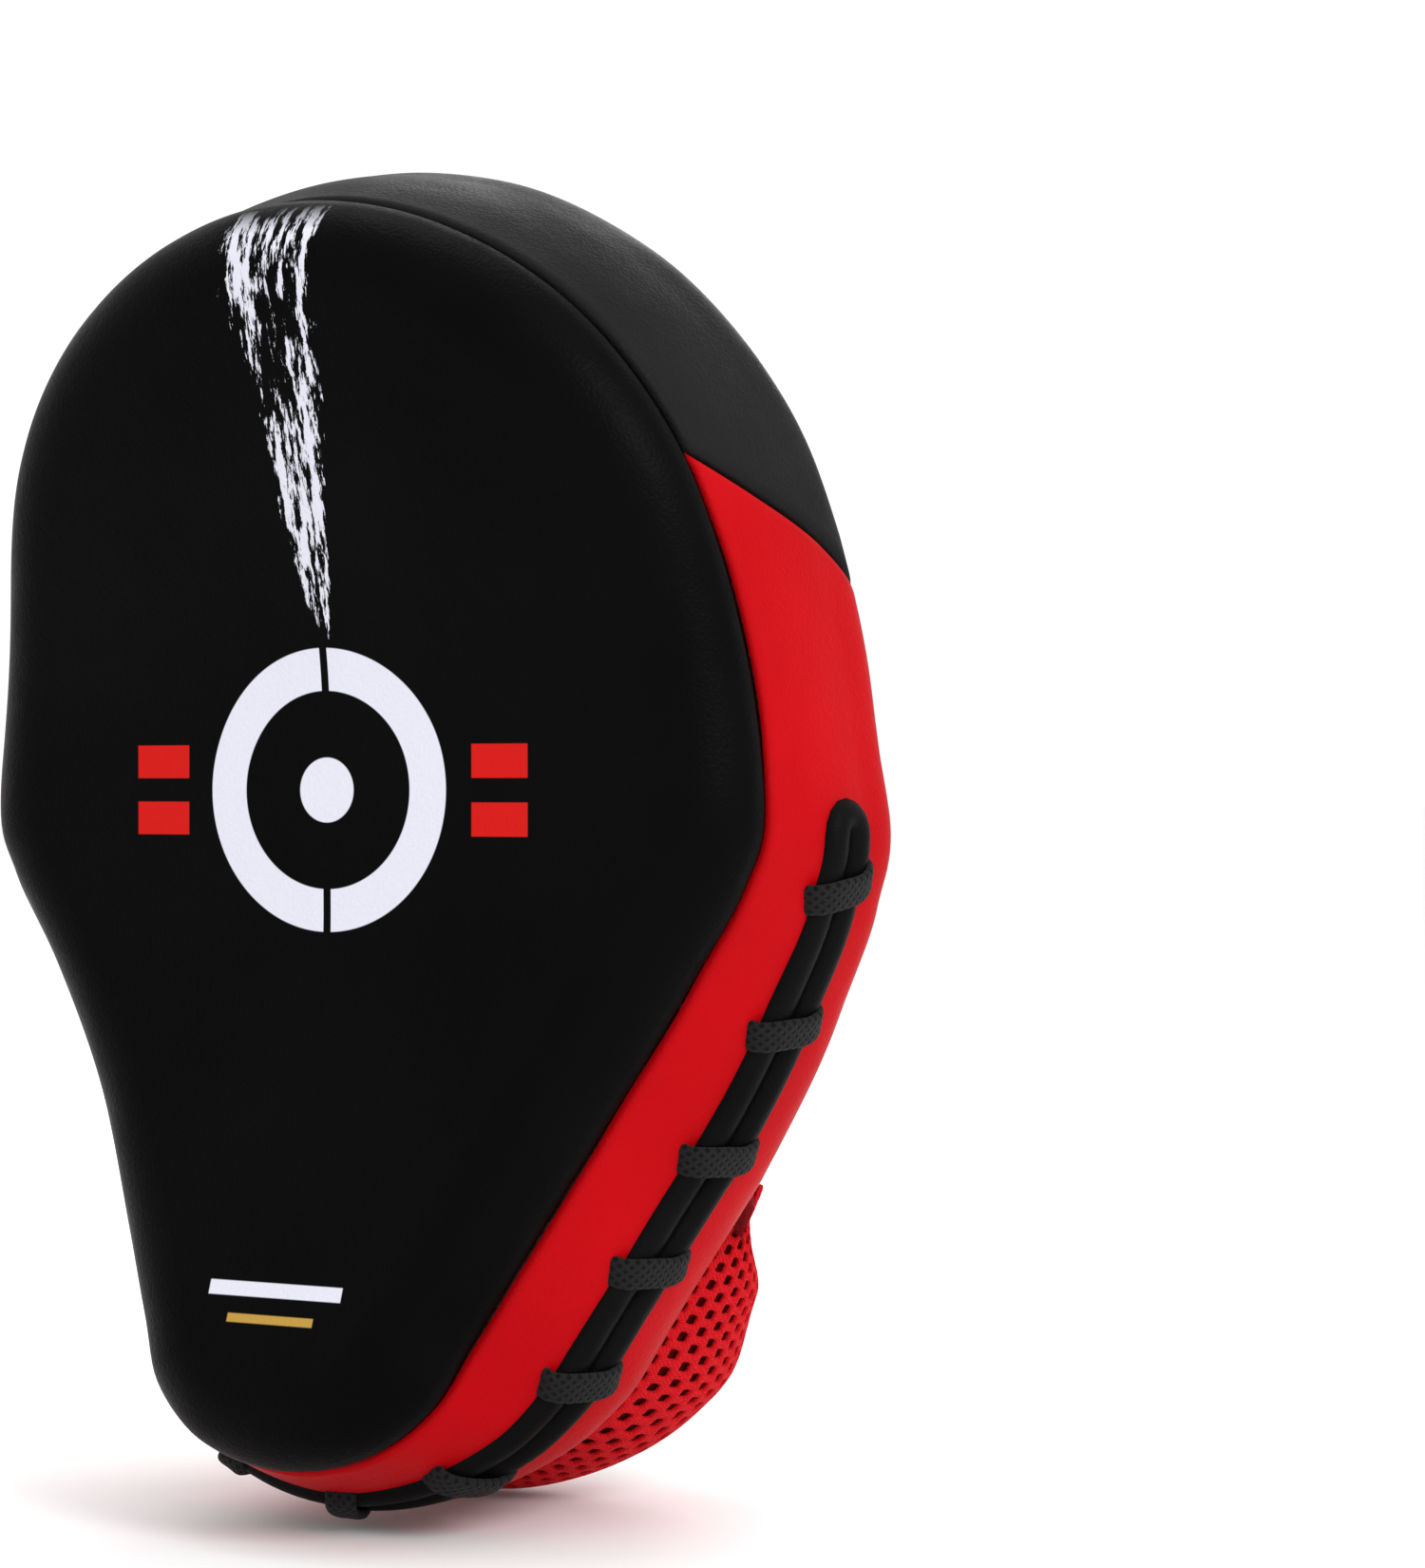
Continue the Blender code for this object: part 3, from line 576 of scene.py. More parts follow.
def braid(name, slot, dark, light):
    """Flat braided lace: crossing diagonal strands along the piece's own run."""
    m = Nodes(name, slot)
    run = m.add("ShaderNodeAttribute", attribute_name="run").outputs["Vector"]
    parts = m.add("ShaderNodeSeparateXYZ")
    m.link(run, parts.inputs["Vector"])
    along, across = parts.outputs["X"], parts.outputs["Y"]
    strands = []
    for sign in (1, -1):
        phase = m.maths("ADD", m.maths("MULTIPLY", along, 1400.0), m.maths("MULTIPLY", across, 1500.0 * sign))
        strands.append(m.maths("ABSOLUTE", m.maths("SINE", phase)))
    weave = m.maths("MAXIMUM", *strands)
    fuzz = m.noise(3200, 3)
    height = m.maths("ADD", weave, m.maths("MULTIPLY", fuzz, 0.35))
    # The colour follows the braid's height: painted highlight on the strands' tops and painted shade between
    # them; the fuzz adds tone that differs at random.
    m.set(
        Base_Color=m.blend(m.ramp(height, 0, 1, 0.6, 1.3), dark, light),
        Roughness=0.88,
        Normal=m.bump(height, 0.5 * MM, 1.0),
        Specular_IOR_Level=0.12,
        Sheen_Weight=0.03,
        Sheen_Roughness=0.5,
    )
    return m


def foam(name, dark, light):
    """Open foam with small bubbles, for the CAD pieces inside the mitt."""
    m = Nodes(name)
    bubbles = m.cells(900)
    # The bubbles' pits are coloured darker than their walls: painted shade.
    m.set(
        Base_Color=m.blend(m.ramp(bubbles, 0, 1, 0.1, 0.7), dark, light),
        Roughness=0.94,
        Normal=m.bump(bubbles, 0.3 * MM),
    )
    return m


def twist(name, slot, dark, light):
    """Sewing thread: a fine slanted twist."""
    m = Nodes(name, slot)
    wave = m.add("ShaderNodeTexWave", bands_direction="DIAGONAL")
    ply = m.fill(wave, Scale=900, Vector=m.where).outputs["Fac"]
    # The colour follows the twist: lighter on the plies and darker in the grooves between them, as painted
    # light and shade.
    m.set(Base_Color=m.blend(ply, dark, light), Roughness=0.55, Normal=m.bump(ply, 0.12 * MM))
    return m


# The print on the striking face: a plain ring target, four bars and a dry brush streak.
TARGET_HEIGHT = 9 * MM
RING_RADIUS = 26 * MM
RING_HALF = 4.6 * MM
SPLIT_HALF = 0.9 * MM
DOT_RADIUS = 7 * MM
BAR_GAP = 37 * MM
BAR_LENGTH = 14 * MM
BAR_HALF = 3.6 * MM
BAR_RISE = 6.2 * MM
STREAK_TOP = 133 * MM
STREAK_END = 34 * MM
STREAK_HALF = 19 * MM
FOOT_MARK_Z = -97 * MM


def add_print(m):
    """Lays the print over a leather material's colour, on the front only."""
    parts = m.add("ShaderNodeSeparateXYZ")
    m.link(m.where, parts.inputs["Vector"])
    x, y, z = parts.outputs["X"], parts.outputs["Y"], parts.outputs["Z"]
    soft = 0.12 * MM

    def inside(value, limit):
        return m.ramp(value, 1, 0, limit - soft, limit + soft)

    def product(*values):
        result = values[0]
        for value in values[1:]:
            result = m.maths("MULTIPLY", result, value)
        return result

    def away(value, centre):
        return m.maths("ABSOLUTE", m.maths("SUBTRACT", value, centre))

    side = m.maths("ABSOLUTE", x)
    up = m.maths("SUBTRACT", z, TARGET_HEIGHT)
    reach = m.maths("SQRT", m.maths("ADD", product(x, x), product(up, up)))
    ring = inside(away(reach, RING_RADIUS), RING_HALF)
    split = m.ramp(side, 0, 1, SPLIT_HALF, SPLIT_HALF + soft)
    target = m.maths("MAXIMUM", product(ring, split), inside(reach, DOT_RADIUS))
    bars = product(
        inside(away(side, BAR_GAP + BAR_LENGTH / 2), BAR_LENGTH / 2),
        inside(away(m.maths("ABSOLUTE", up), BAR_RISE), BAR_HALF),
    )

    stretch = m.add("ShaderNodeMapping")
    stretch.inputs["Scale"].default_value = (1.0, 0.0, 0.2)
    m.link(m.where, stretch.inputs["Vector"])
    bristles = m.noise(620, 5, stretch.outputs["Vector"], 0.72)
    patches = m.noise(70, 2, stretch.outputs["Vector"])
    taper = m.ramp(z, 0.12, 1.0, STREAK_END, STREAK_TOP)
    width = m.maths("MULTIPLY", taper, STREAK_HALF)
    edge = m.ramp(m.maths("DIVIDE", side, width), 0.13, -0.22, 0.5, 1.0)
    lengthwise = m.ramp(z, -0.35, 0.0, STREAK_END - 9 * MM, STREAK_END + 16 * MM)
    paint = m.maths("ADD", m.maths("ADD", bristles, m.maths("MULTIPLY", patches, 0.7)), edge)
    streak = m.ramp(m.maths("ADD", paint, lengthwise), 0, 1, 0.955, 0.985)
    streak = product(streak, m.ramp(z, 1, 0, STREAK_TOP - 6 * MM, STREAK_TOP))

    foot_white = product(inside(side, 17 * MM), inside(away(z, FOOT_MARK_Z), 1.5 * MM))
    foot_gold = product(inside(side, 11 * MM), inside(away(z, FOOT_MARK_Z - 6 * MM), 0.9 * MM))

    front = m.ramp(y, 1, 0, -57 * MM, -56.5 * MM)
    whites = m.maths("MAXIMUM", m.maths("MAXIMUM", target, streak), foot_white)
    under = m.shader.inputs["Base Color"].links[0].from_socket
    layers = (
        (product(whites, front), (0.62, 0.62, 0.70)),
        (product(bars, front), (0.52, 0.01, 0.008)),
        (product(foot_gold, front), (0.42, 0.25, 0.05)),
    )
    for mask, colour in layers:
        under = m.blend(mask, under, colour)
    m.link(under, m.shader.inputs["Base Color"])


BLACK_SLOT = "black_leather"
black = leather("looks_black_leather", BLACK_SLOT, (0.0020, 0.0018, 0.0018), (0.0034, 0.0031, 0.0031), 0.38)
# The slot rolls' leather is the black leather painted darker: a painted-shade copy of it.
roll_shaded_black = leather("looks_slot_rolls", BLACK_SLOT, (0.0012, 0.0012, 0.0012), (0.0026, 0.0025, 0.0025),
                     0.5, gloss=0.05)
# The face's leather is the black leather painted darker, a painted-shade copy of it, with the print laid over
# it.
face_shaded_black = leather("looks_printed_face", BLACK_SLOT, (0.0008, 0.0008, 0.0008), (0.0017, 0.0016, 0.0016),
                     0.40, gloss=0.03)
add_print(face_shaded_black)
# The gusset's leather is the black leather painted lighter as if lit: a painted-light copy of it.
gusset_lit_black = leather("looks_gusset_leather", BLACK_SLOT, (0.0065, 0.006, 0.0062), (0.010, 0.0093, 0.0095),
                       0.5, gloss=0.06)
red = leather("looks_red_leather", "red_leather", (0.35, 0.0010, 0.003), (0.42, 0.0016, 0.0045),
              0.42, crease=0.18 * MM, gloss=0.035)
white = leather("looks_white_leather", "white_leather", (0.60, 0.605, 0.615), (0.67, 0.67, 0.675),
                0.44, 0.07 * MM, 0.2 * MM, gloss=0.14)
mesh_red = knit("looks_red_mesh", "red_mesh", (0.40, 0.002, 0.005), (0.86, 0.009, 0.018))
# The backing is the red mesh painted darker: painted shade under the net and in its holes.
backing_shaded_red = knit("looks_mesh_backing", "red_mesh", (0.12, 0.001, 0.003), (0.26, 0.003, 0.007))
lace_black = braid("looks_black_lace", "black_lace", (0.0014, 0.0014, 0.0015), (0.013, 0.013, 0.0135))
firm_foam = foam("looks_firm_foam", (0.045, 0.045, 0.05), (0.07, 0.07, 0.075))
soft_foam = foam("looks_soft_foam", (0.28, 0.28, 0.27), (0.42, 0.42, 0.40))
red_thread = twist("looks_red_thread", "red_leather", (0.36, 0.004, 0.006), (0.50, 0.008, 0.012))
white_thread = twist("looks_white_thread", "white_leather", (0.42, 0.42, 0.43), (0.58, 0.58, 0.58))
black_thread = twist("looks_black_thread", BLACK_SLOT, (0.008, 0.008, 0.008), (0.02, 0.02, 0.02))


# Building pieces.

def face_away(bm, from_point):
    """Turns the faces of a sheet so that most of them face away from a point."""
    bm.normal_update()
    if sum(f.normal.dot(f.calc_center_median() - from_point) * f.calc_area() for f in bm.faces) < 0:
        bmesh.ops.reverse_faces(bm, faces=bm.faces)


def drop_loose(bm):
    loose = [v for v in bm.verts if not v.link_faces]
    bmesh.ops.delete(bm, geom=loose, context="VERTS")


def link_object(name, data):
    item = bpy.data.objects.new(name, data)
    bpy.context.scene.collection.objects.link(item)
    return item


def make_piece(name, bm, look, nodes=(), away_from=None, solid=0.0, smooth=0, blended=False):
    """Turns bm into a finished piece: thickness inward, subdivision, material, body and CAD nodes.

    A blended piece is the band's, which rises over the knuckles: its transform is baked into its mesh, and it
    is not attached to a body.
    """
    bm.normal_update()
    if away_from is not None:
        face_away(bm, away_from)
    data = bpy.data.meshes.new(name)
    bm.to_mesh(data)
    bm.free()
    item = link_object(name, data)
    if solid:
        modifier = item.modifiers.new("thickness", "SOLIDIFY")
        modifier.thickness = solid
        modifier.offset = -1
    if smooth:
        modifier = item.modifiers.new("rounding", "SUBSURF")
        modifier.levels = smooth
        modifier.render_levels = smooth
    if item.modifiers:
        graph = bpy.context.evaluated_depsgraph_get()
        final = bpy.data.meshes.new_from_object(item.evaluated_get(graph))
        item.modifiers.clear()
        item.data = final
    item.data.shade_smooth()
    item.data.materials.clear()
    item.data.materials.append(look.mat)
    if nodes:
        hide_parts(*nodes)
    if blended:
        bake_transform(item)
    else:
        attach(item, "root")
    return item


def grid(surface, across, along, keep=None):
    """A sheet of quads over surface(a, b), both from 0 to 1, without those that keep refuses."""
    bm = bmesh.new()
    rows = [
        [bm.verts.new(surface(i / across, j / along)) for i in range(across + 1)]
        for j in range(along + 1)
    ]
    for j, (row, following) in enumerate(zip(rows, rows[1:])):
        for i in range(across):
            if keep is None or keep((i + 0.5) / across, (j + 0.5) / along):
                bm.faces.new((row[i], row[i + 1], following[i + 1], following[i]))
    drop_loose(bm)
    return bm


def normal_at(surface, a, b, away_from):
    """Unit normal of surface at (a, b), on the side that faces away from a point."""
    h = 1e-3
    da = surface(min(a + h, 1), b) - surface(max(a - h, 0), b)
    db = surface(a, min(b + h, 1)) - surface(a, max(b - h, 0))
    normal = da.cross(db)
    if normal.length < 1e-14:
        return (surface(a, b) - away_from).normalized()
    normal.normalize()
    if normal.dot(surface(a, b) - away_from) < 0:
        normal.negate()
    return normal


def edge_roll(distance, radius):
    """How far a turned leather edge sinks at a distance from its seam."""
    if distance >= radius:
        return 0.0
    return radius - math.sqrt(max(radius ** 2 - (radius - distance) ** 2, 0.0))


def groove(distance, depth, width=0.8 * MM):
    """Depth of the furrow that a row of stitches pulls, at a distance from the row."""
    return depth * math.exp(-(distance / width) ** 2)


def ripple(point, size, amount, seed=0):
    """Soft unevenness of stretched leather."""
    return amount * noise.noise(point / size + Vector((seed, 0, 0)))


def bridge(bm, rings):
    """Quads between each closed ring of vertices and the next."""
    for ring, following in zip(rings, rings[1:]):
        for i in range(len(ring)):
            j = (i + 1) % len(ring)
            bm.faces.new((ring[i], ring[j], following[j], following[i]))


def sweep(points, outs, profile, closed=False):
    """A bar along points; profile is pairs of (across, out) and outs gives the out direction."""
    bm = bmesh.new()
    run = bm.verts.layers.float_vector.new("run")
    rings = []
    count = len(points)
    length = 0.0
    for k, point in enumerate(points):
        before = points[(k - 1) % count] if closed or k else point
        after = points[(k + 1) % count] if closed or k < count - 1 else point
        tangent = (after - before).normalized()
        out = (outs[k] - tangent * outs[k].dot(tangent)).normalized()
        across = tangent.cross(out)
        if k:
            length += (point - points[k - 1]).length
        ring = []
        for c, o in profile:
            vert = bm.verts.new(point + across * c + out * o)
            vert[run] = (length, c, 0)
            ring.append(vert)
        rings.append(ring)
    bridge(bm, rings + rings[:1] if closed else rings)
    if not closed:
        bm.faces.new(rings[0][::-1])
        bm.faces.new(rings[-1])
    bmesh.ops.recalc_face_normals(bm, faces=bm.faces)
    return bm


def oval(across, out, sides=14):
    """Points round an oval, as (across, out)."""
    turns = [2 * math.pi * k / sides for k in range(sides)]
    return [(across * math.cos(turn), out * math.sin(turn)) for turn in turns]


def ribbon(width, thick):
    """Cross-section of a flat lace, with round edges and a slight hollow down its middle."""
    quarter = ((1, 0.35), (0.85, 0.9), (0.5, 1.1))
    shape = [(-c, h) for c, h in quarter] + [(0, 0.9)] + list(reversed(quarter))
    top = [(width / 2 * c, thick / 2 * h) for c, h in shape]
    return top + [(c, -h) for c, h in reversed(top)]


def join_into(target, source):
    """Adds source's geometry to target, with its run layer."""
    data = bpy.data.meshes.new("part")
    source.to_mesh(data)
    source.free()
    target.from_mesh(data)
    bpy.data.meshes.remove(data)


def add_stitch(bm, middle, along, out):
    """One stitch: a short arched thread whose ends go into the leather."""
    across = along.cross(out)
    steps = 4
    rings = []
    for k in range(steps + 1):
        t = k / steps * 2 - 1
        rise = STITCH_RADIUS * (0.95 - 1.6 * t * t)
        centre = middle + along * (t * STITCH_LENGTH / 2) + out * rise
        size = STITCH_RADIUS * (1 - 0.35 * t * t)
        rings.append([bm.verts.new(centre + across * c + out * o) for c, o in oval(size, size, 6)])
    bridge(bm, rings[::-1])
    bm.faces.new(rings[0])
    bm.faces.new(rings[-1][::-1])


def stitch_rows(name, rows, look, slant=0.0, blended=False):
    """Stitches along rows; a row is a list of (point, outward normal)."""
    bm = bmesh.new()
    for row in rows:
        travelled = 0.0
        due = STITCH_PITCH / 2
        for (p, out), (q, _) in zip(row, row[1:]):
            step = (q - p).length
            if step < 1e-9:
                continue
            along = (q - p) / step
            while due <= travelled + step:
                middle = p.lerp(q, (due - travelled) / step)
                level = (along - out * along.dot(out)).normalized()
                turned = (level + out.cross(level) * slant).normalized()
                add_stitch(bm, middle, turned, out)
                due += STITCH_PITCH
            travelled += step
    make_piece(name, bm, look, blended=blended)


def path_on(surface, route, count, away_from, lift=0.0):
    """Points and normals along route(t) -> (a, b) on a surface."""
    row = []
    for k in range(count + 1):
        a, b = route(k / count)
        normal = normal_at(surface, a, b, away_from)
        row.append((surface(a, b) + normal * lift, normal))
    return row


def honeycomb(at, cols, rows):
    """A sheet of hexagons with a hole in each. at(p, q) gives (point, inside, covered)."""
    bm = bmesh.new()
    known = {}

    def corner(k, j):
        if (k, j) not in known:
            stagger = (1 if (k + j) % 2 else -1) / 6
            point, inside, covered = at(k / 2, j + stagger)
            known[k, j] = (bm.verts.new(point), inside, covered)
        return known[k, j]

    for j in range(rows):
        for i in range(cols):
            k = 2 * i + j % 2
            corners = [corner(k, j), corner(k + 1, j), corner(k + 2, j),
                       corner(k + 2, j + 1), corner(k + 1, j + 1), corner(k, j + 1)]
            if not any(c[1] for c in corners) or all(c[2] for c in corners):
                continue
            verts = [c[0] for c in corners]
            middle = sum((v.co for v in verts), Vector()) / 6
            spokes = [v.co - middle for v in verts]
            area = sum(spokes[n].cross(spokes[(n + 1) % 6]).length for n in range(6)) / 2
            if area < LEAST_MESH_CELL:
                continue
            bridge(bm, [verts, [bm.verts.new(middle.lerp(v.co, MESH_HOLE)) for v in verts]])
    bmesh.ops.remove_doubles(bm, verts=bm.verts, dist=0.05 * MM)
    bmesh.ops.dissolve_degenerate(bm, edges=bm.edges, dist=0.02 * MM)
    drop_loose(bm)
    return bm


def settle(bm, away_from, is_sewn, growth, pressure, cap, frames):
    """Lets the loose part of a leather sheet swell and crease as cloth between its sewn parts."""
    face_away(bm, away_from)
    start = [v.co.copy() for v in bm.verts]
    data = bpy.data.meshes.new("cloth")
    bm.to_mesh(data)
    item = link_object("cloth", data)
    sewn = item.vertex_groups.new(name="sewn")
    sewn.add([i for i, p in enumerate(start) if is_sewn(p)], 1.0, "REPLACE")
    modifier = item.modifiers.new("cloth", "CLOTH")
    modifier.point_cache.frame_end = frames
    modifier.collision_settings.use_collision = False
    cloth = modifier.settings
    cloth.quality = 5
    cloth.mass = 0.2
    cloth.tension_stiffness = 15
    cloth.compression_stiffness = 15
    cloth.shear_stiffness = 6
    cloth.bending_stiffness = 0.4
    cloth.shrink_min = -growth
    cloth.vertex_group_mass = "sewn"
    cloth.use_pressure = True
    cloth.uniform_pressure_force = pressure
    cloth.effector_weights.gravity = 0
    for step in range(1, frames + 1):
        bpy.context.scene.frame_set(step)
    final = item.evaluated_get(bpy.context.evaluated_depsgraph_get()).data
    for vert, before, after in zip(bm.verts, start, final.vertices):
        move = after.co - before
        if move.length > cap:
            move *= cap / move.length
        vert.co = before + move
    bpy.context.scene.frame_set(1)
    bpy.data.objects.remove(item, do_unlink=True)
    bpy.data.meshes.remove(data)
    bmesh.ops.smooth_vert(bm, verts=bm.verts, factor=0.25, use_axis_x=True, use_axis_y=True, use_axis_z=True)
    return bm


PAD_MIDDLE = Vector((0, -30 * MM, 0))
BOLSTER_MIDDLE = Vector((0, -30 * MM, -120 * MM))
HOOD_MIDDLE = Vector((0, 0, 30 * MM))
TOWARDS_HAND = Vector((0, 1, 0))
SIDES = ((1, "right"), (-1, "left"))


# The pad: striking face, walls and back.

def strike_cover():
    """Printed face, softly crowned, with its rounded edge turned to the wall seam."""
    half = 150
    around = 2 * half
    edge_steps = 9
    inset = -FACE_ROUND
    bm = bmesh.new()
    rings = []
    for k in range(edge_steps + 1):
        angle = math.radians(90) * (1 - k / edge_steps)
        offset = FACE_ROUND * (math.cos(angle) - 1)
        depth = FACE_ROUND * (1 - math.sin(angle))
        sink = edge_roll((edge_steps - k) / edge_steps * FACE_ROUND * 1.57, 1.6 * MM)
        ring = []
        for i in range(around):
            uneven = ripple(rim(i / around, 0, 0), 34 * MM, 0.35 * MM) * k / edge_steps
            ring.append(bm.verts.new(rim(i / around, offset - sink + uneven, depth + 0.25 * sink)))
        rings.append(ring)
    turned = [bm.verts.new(rim(i / around, -4 * MM, FACE_ROUND + 0.4 * MM)) for i in range(around)]
    rings.append(turned)
    bridge(bm, rings)

    across = 60
    rows = []
    top_s, bottom_s = outline(0)[0][1] + inset, outline(0.5)[0][1] - inset
    for i in range(1, half):
        (x, s), (nx, ns) = outline(i / around)
        x, s = x + nx * inset, s + ns * inset
        row = [rings[0][i]]
        for k in range(1, across):
            f = k / across
            at_x = mix(x, -x, f)
            level = place(at_x, s, 0)
            crown = ripple(level, 45 * MM, 0.3 * MM, 7)
            fade = min(1.0, 6 * f * (1 - f)) * smoothstep(0, 9 * MM, min(top_s - s, s - bottom_s))
            row.append(bm.verts.new(place(at_x, s, crown * fade)))
        row.append(rings[0][around - i])
        rows.append(row)
    for row, following in zip(rows, rows[1:]):
        for k in range(across):
            bm.faces.new((row[k], row[k + 1], following[k + 1], following[k]))
    for end, row in ((rings[0][0], rows[0]), (rings[0][half], rows[-1])):
        for k in range(across):
            bm.faces.new((end, row[k], row[k + 1]))
    bmesh.ops.recalc_face_normals(bm, faces=bm.faces)
    item = make_piece("striking_face", bm, face_shaded_black, ["strike_cover"], PAD_MIDDLE)


def wall_sheet(first, last):
    """The wall between two ends that depend on v, with its edges turned in at every seam."""
    def sheet(a, b):
        start, end = first(b), last(b)
        u = mix(start, end, a)
        point = wall(u, b)
        length = abs(end - start) * OUTLINE_LENGTH
        (_, s), _ = outline(u)
        deep = wall_stations(s)[-1][1] - FACE_ROUND
        gap = min(a * length, (1 - a) * length, b * deep * 1.05, (1 - b) * deep)
        out = (rim(u, 10 * MM, 40 * MM) - rim(u, 0, 40 * MM)).normalized()
        return point - out * edge_roll(gap, 1.3 * MM) + out * ripple(point, 26 * MM, 0.45 * MM, 3)
    return sheet


def finger_gusset():
    bm = grid(wall_sheet(lambda v: -gusset_u(v), gusset_u), 120, 44)
    make_piece("finger_gusset", bm, gusset_lit_black, ["upper_gusset"], PAD_MIDDLE, LEATHER_THICK)


def side_band():
    """The red side band, with its slot cut out."""
    end_u = u_at(SLOT_TOP_S - 1 * MM)

    def keep(a, b):
        start = gusset_u(b)
        u = mix(start, 1 - start, a)
        if not end_u < u < 1 - end_u:
            return True
        across = (wall(u, b) - wall(u, SLOT_MIDDLE)).length
        nearest_end = min(u - end_u, 1 - end_u - u) * OUTLINE_LENGTH
        lost = max(SLOT_HALF - nearest_end, 0)
        return across > math.sqrt(max(SLOT_HALF ** 2 - lost ** 2, 0))

    bm = grid(wall_sheet(gusset_u, lambda v: 1 - gusset_u(v)), 300, 60, keep=keep)
    make_piece("side_band", bm, red, ["side_panel"], PAD_MIDDLE, LEATHER_THICK)


def back_surface(a, b):
    """(point, height) of the palm side, with a padded crescent between the hood's tape and the gusset."""
    u = mix(0.004, 0.496, b)
    (x, s), (nx, ns) = outline(u)
    offset, _ = wall_stations(s)[-1]
    x, s = x + nx * (offset - 1.6 * MM), s + ns * (offset - 1.6 * MM)
    at_x = mix(x, -x, a)
    slope = (hood_half_width(s + 2 * MM) - hood_half_width(s - 2 * MM)) / (4 * MM)
    seam = hood_half_width(s) + TAPE_REACH * math.hypot(1, slope)
    outer = x - seam
    puff = 0.0
    if s > CRESCENT_START_S and outer > 2 * MM and abs(at_x) > seam:
        share = min((abs(at_x) - seam) / outer, 1.0)
        height = min(outer * CRESCENT_SLOPE, CRESCENT_HEIGHT)
        puff = height * (math.sin(math.pi * share ** 0.9)) ** 0.7
    puff *= smoothstep(CRESCENT_START_S - 2 * MM, CRESCENT_START_S + 12 * MM, s)
    point = place(at_x, s, PAD_DEPTH + puff + ripple(Vector((at_x, 0, s)), 22 * MM, 0.5 * MM, 11))
    return point, puff


def back():
    """The palm cover, with its crescents settled as cloth and the rest held still."""
    loose = set()

    def surface(a, b):
        point, height = back_surface(a, b)
        if height > 0.8 * MM:
            loose.add(tuple(point))
        return point

    bm = settle(grid(surface, 120, 150), PAD_MIDDLE, lambda p: tuple(p) not in loose, 0.02, 1.2, 3 * MM, 12)
    item = make_piece("back_cover", bm, black, ["back_panel"], PAD_MIDDLE)


# Slot: rolls and lace.

def slot_frame(u):
    """Middle of the slot at u, the way across it, and the way out of it."""
    step = 1e-3
    middle = wall(u, SLOT_MIDDLE)
    across = (wall(u, SLOT_MIDDLE + step) - wall(u, SLOT_MIDDLE - step)).normalized()
    along = (wall(u + step, SLOT_MIDDLE) - wall(u - step, SLOT_MIDDLE)).normalized()
    outward = along.cross(across).normalized()
    if outward.dot(rim(u, 10 * MM, 40 * MM) - rim(u, 0, 40 * MM)) < 0:
        outward = -outward
    return middle, across, outward


def slot_point(u, across_by, out_by):
    """A point beside the slot's middle; all trim lies a little sunk in the slot."""
    middle, across, outward = slot_frame(u)
    return middle + across * across_by + outward * (out_by - SLOT_SINK)


SLOT_START = u_at(SLOT_TOP_S - 6 * MM)
ROLL_HEIGHT = WELT_RADIUS * 0.92


def slot_rolls():
    """One closed padded roll: down one edge of the slot, round its end, and back up the other."""
    rows = 150
    turn = 8
    path, outs = [], []

    def add(u, across_by, out_by=0.0):
        path.append(slot_point(u, across_by, out_by))
        outs.append(slot_frame(u)[2])

    for side, u_from, u_to in ((-1, SLOT_START, 1 - SLOT_START), (1, 1 - SLOT_START, SLOT_START)):
        for k in range(rows + 1):
            add(mix(u_from, u_to, k / rows), side * WELT_OFFSET)
        way = 1 if u_to > u_from else -1
        for k in range(1, turn):
            angle = math.pi * k / turn
            beyond = way * WELT_OFFSET * math.sin(angle) / OUTLINE_LENGTH
            add(u_to + beyond, side * WELT_OFFSET * math.cos(angle))
    bm = sweep(path, outs, oval(WELT_RADIUS, ROLL_HEIGHT, 16), closed=True)
    make_piece("slot_rolls", bm, roll_shaded_black, ["slot_welt"])


def cross_lace():
    """Flat lace that crosses the slot at even steps, each crossing tucked in under both rolls."""
    first = SLOT_START + LACE_START / OUTLINE_LENGTH
    spacing = (1 - 2 * first) / (LACE_CROSSINGS - 1)
    over = ROLL_HEIGHT + LACE_THICK / 2 + 0.1 * MM
    beside = WELT_OFFSET + WELT_RADIUS + LACE_THICK / 2
    lace = bmesh.new()
    lace.verts.layers.float_vector.new("run")
    steps = 26
    for k in range(LACE_CROSSINGS):
        u = first + spacing * k
        lean = LACE_LEAN / OUTLINE_LENGTH * (-1 if u < 0.5 else 1)
        middle, _, outward = slot_frame(u)
        points, ups = [], []
        for n in range(steps + 1):
            angle = math.radians(mix(-38, 218, n / steps))
            across_by = beside * math.cos(angle)
            out_by = over * math.sin(angle)
            across_by = math.copysign(abs(across_by / beside) ** 0.72 * beside, across_by)
            tucked_by = out_by if out_by > 0 else out_by * 1.5
            points.append(slot_point(u + lean * math.cos(angle), across_by, tucked_by))
            ups.append((points[-1] - middle + outward * 4 * MM).normalized())
        join_into(lace, sweep(points, ups, ribbon(LACE_WIDTH, LACE_THICK)))
    make_piece("cross_lace", lace, lace_black, ["slot_lace"], smooth=1)


# Hood.

HOOD_ARCS = {}


def hood_arc(s):
    """Arc length from the crown line against share of the half width, at s."""
    key = round(s / MM)
    if key not in HOOD_ARCS:
        s = key * MM
        width = hood_half_width(s)
        table, total = [(0.0, 0.0)], 0.0
        before = place(0, s, hood_depth(0, s))
        for k in range(1, 61):
            share = 1 - (1 - k / 60) ** 1.5
            point = place(share * width, s, hood_depth(share * width, s))
            total += (point - before).length
            before = point
            table.append((total, share))
        HOOD_ARCS[key] = table
    return HOOD_ARCS[key]


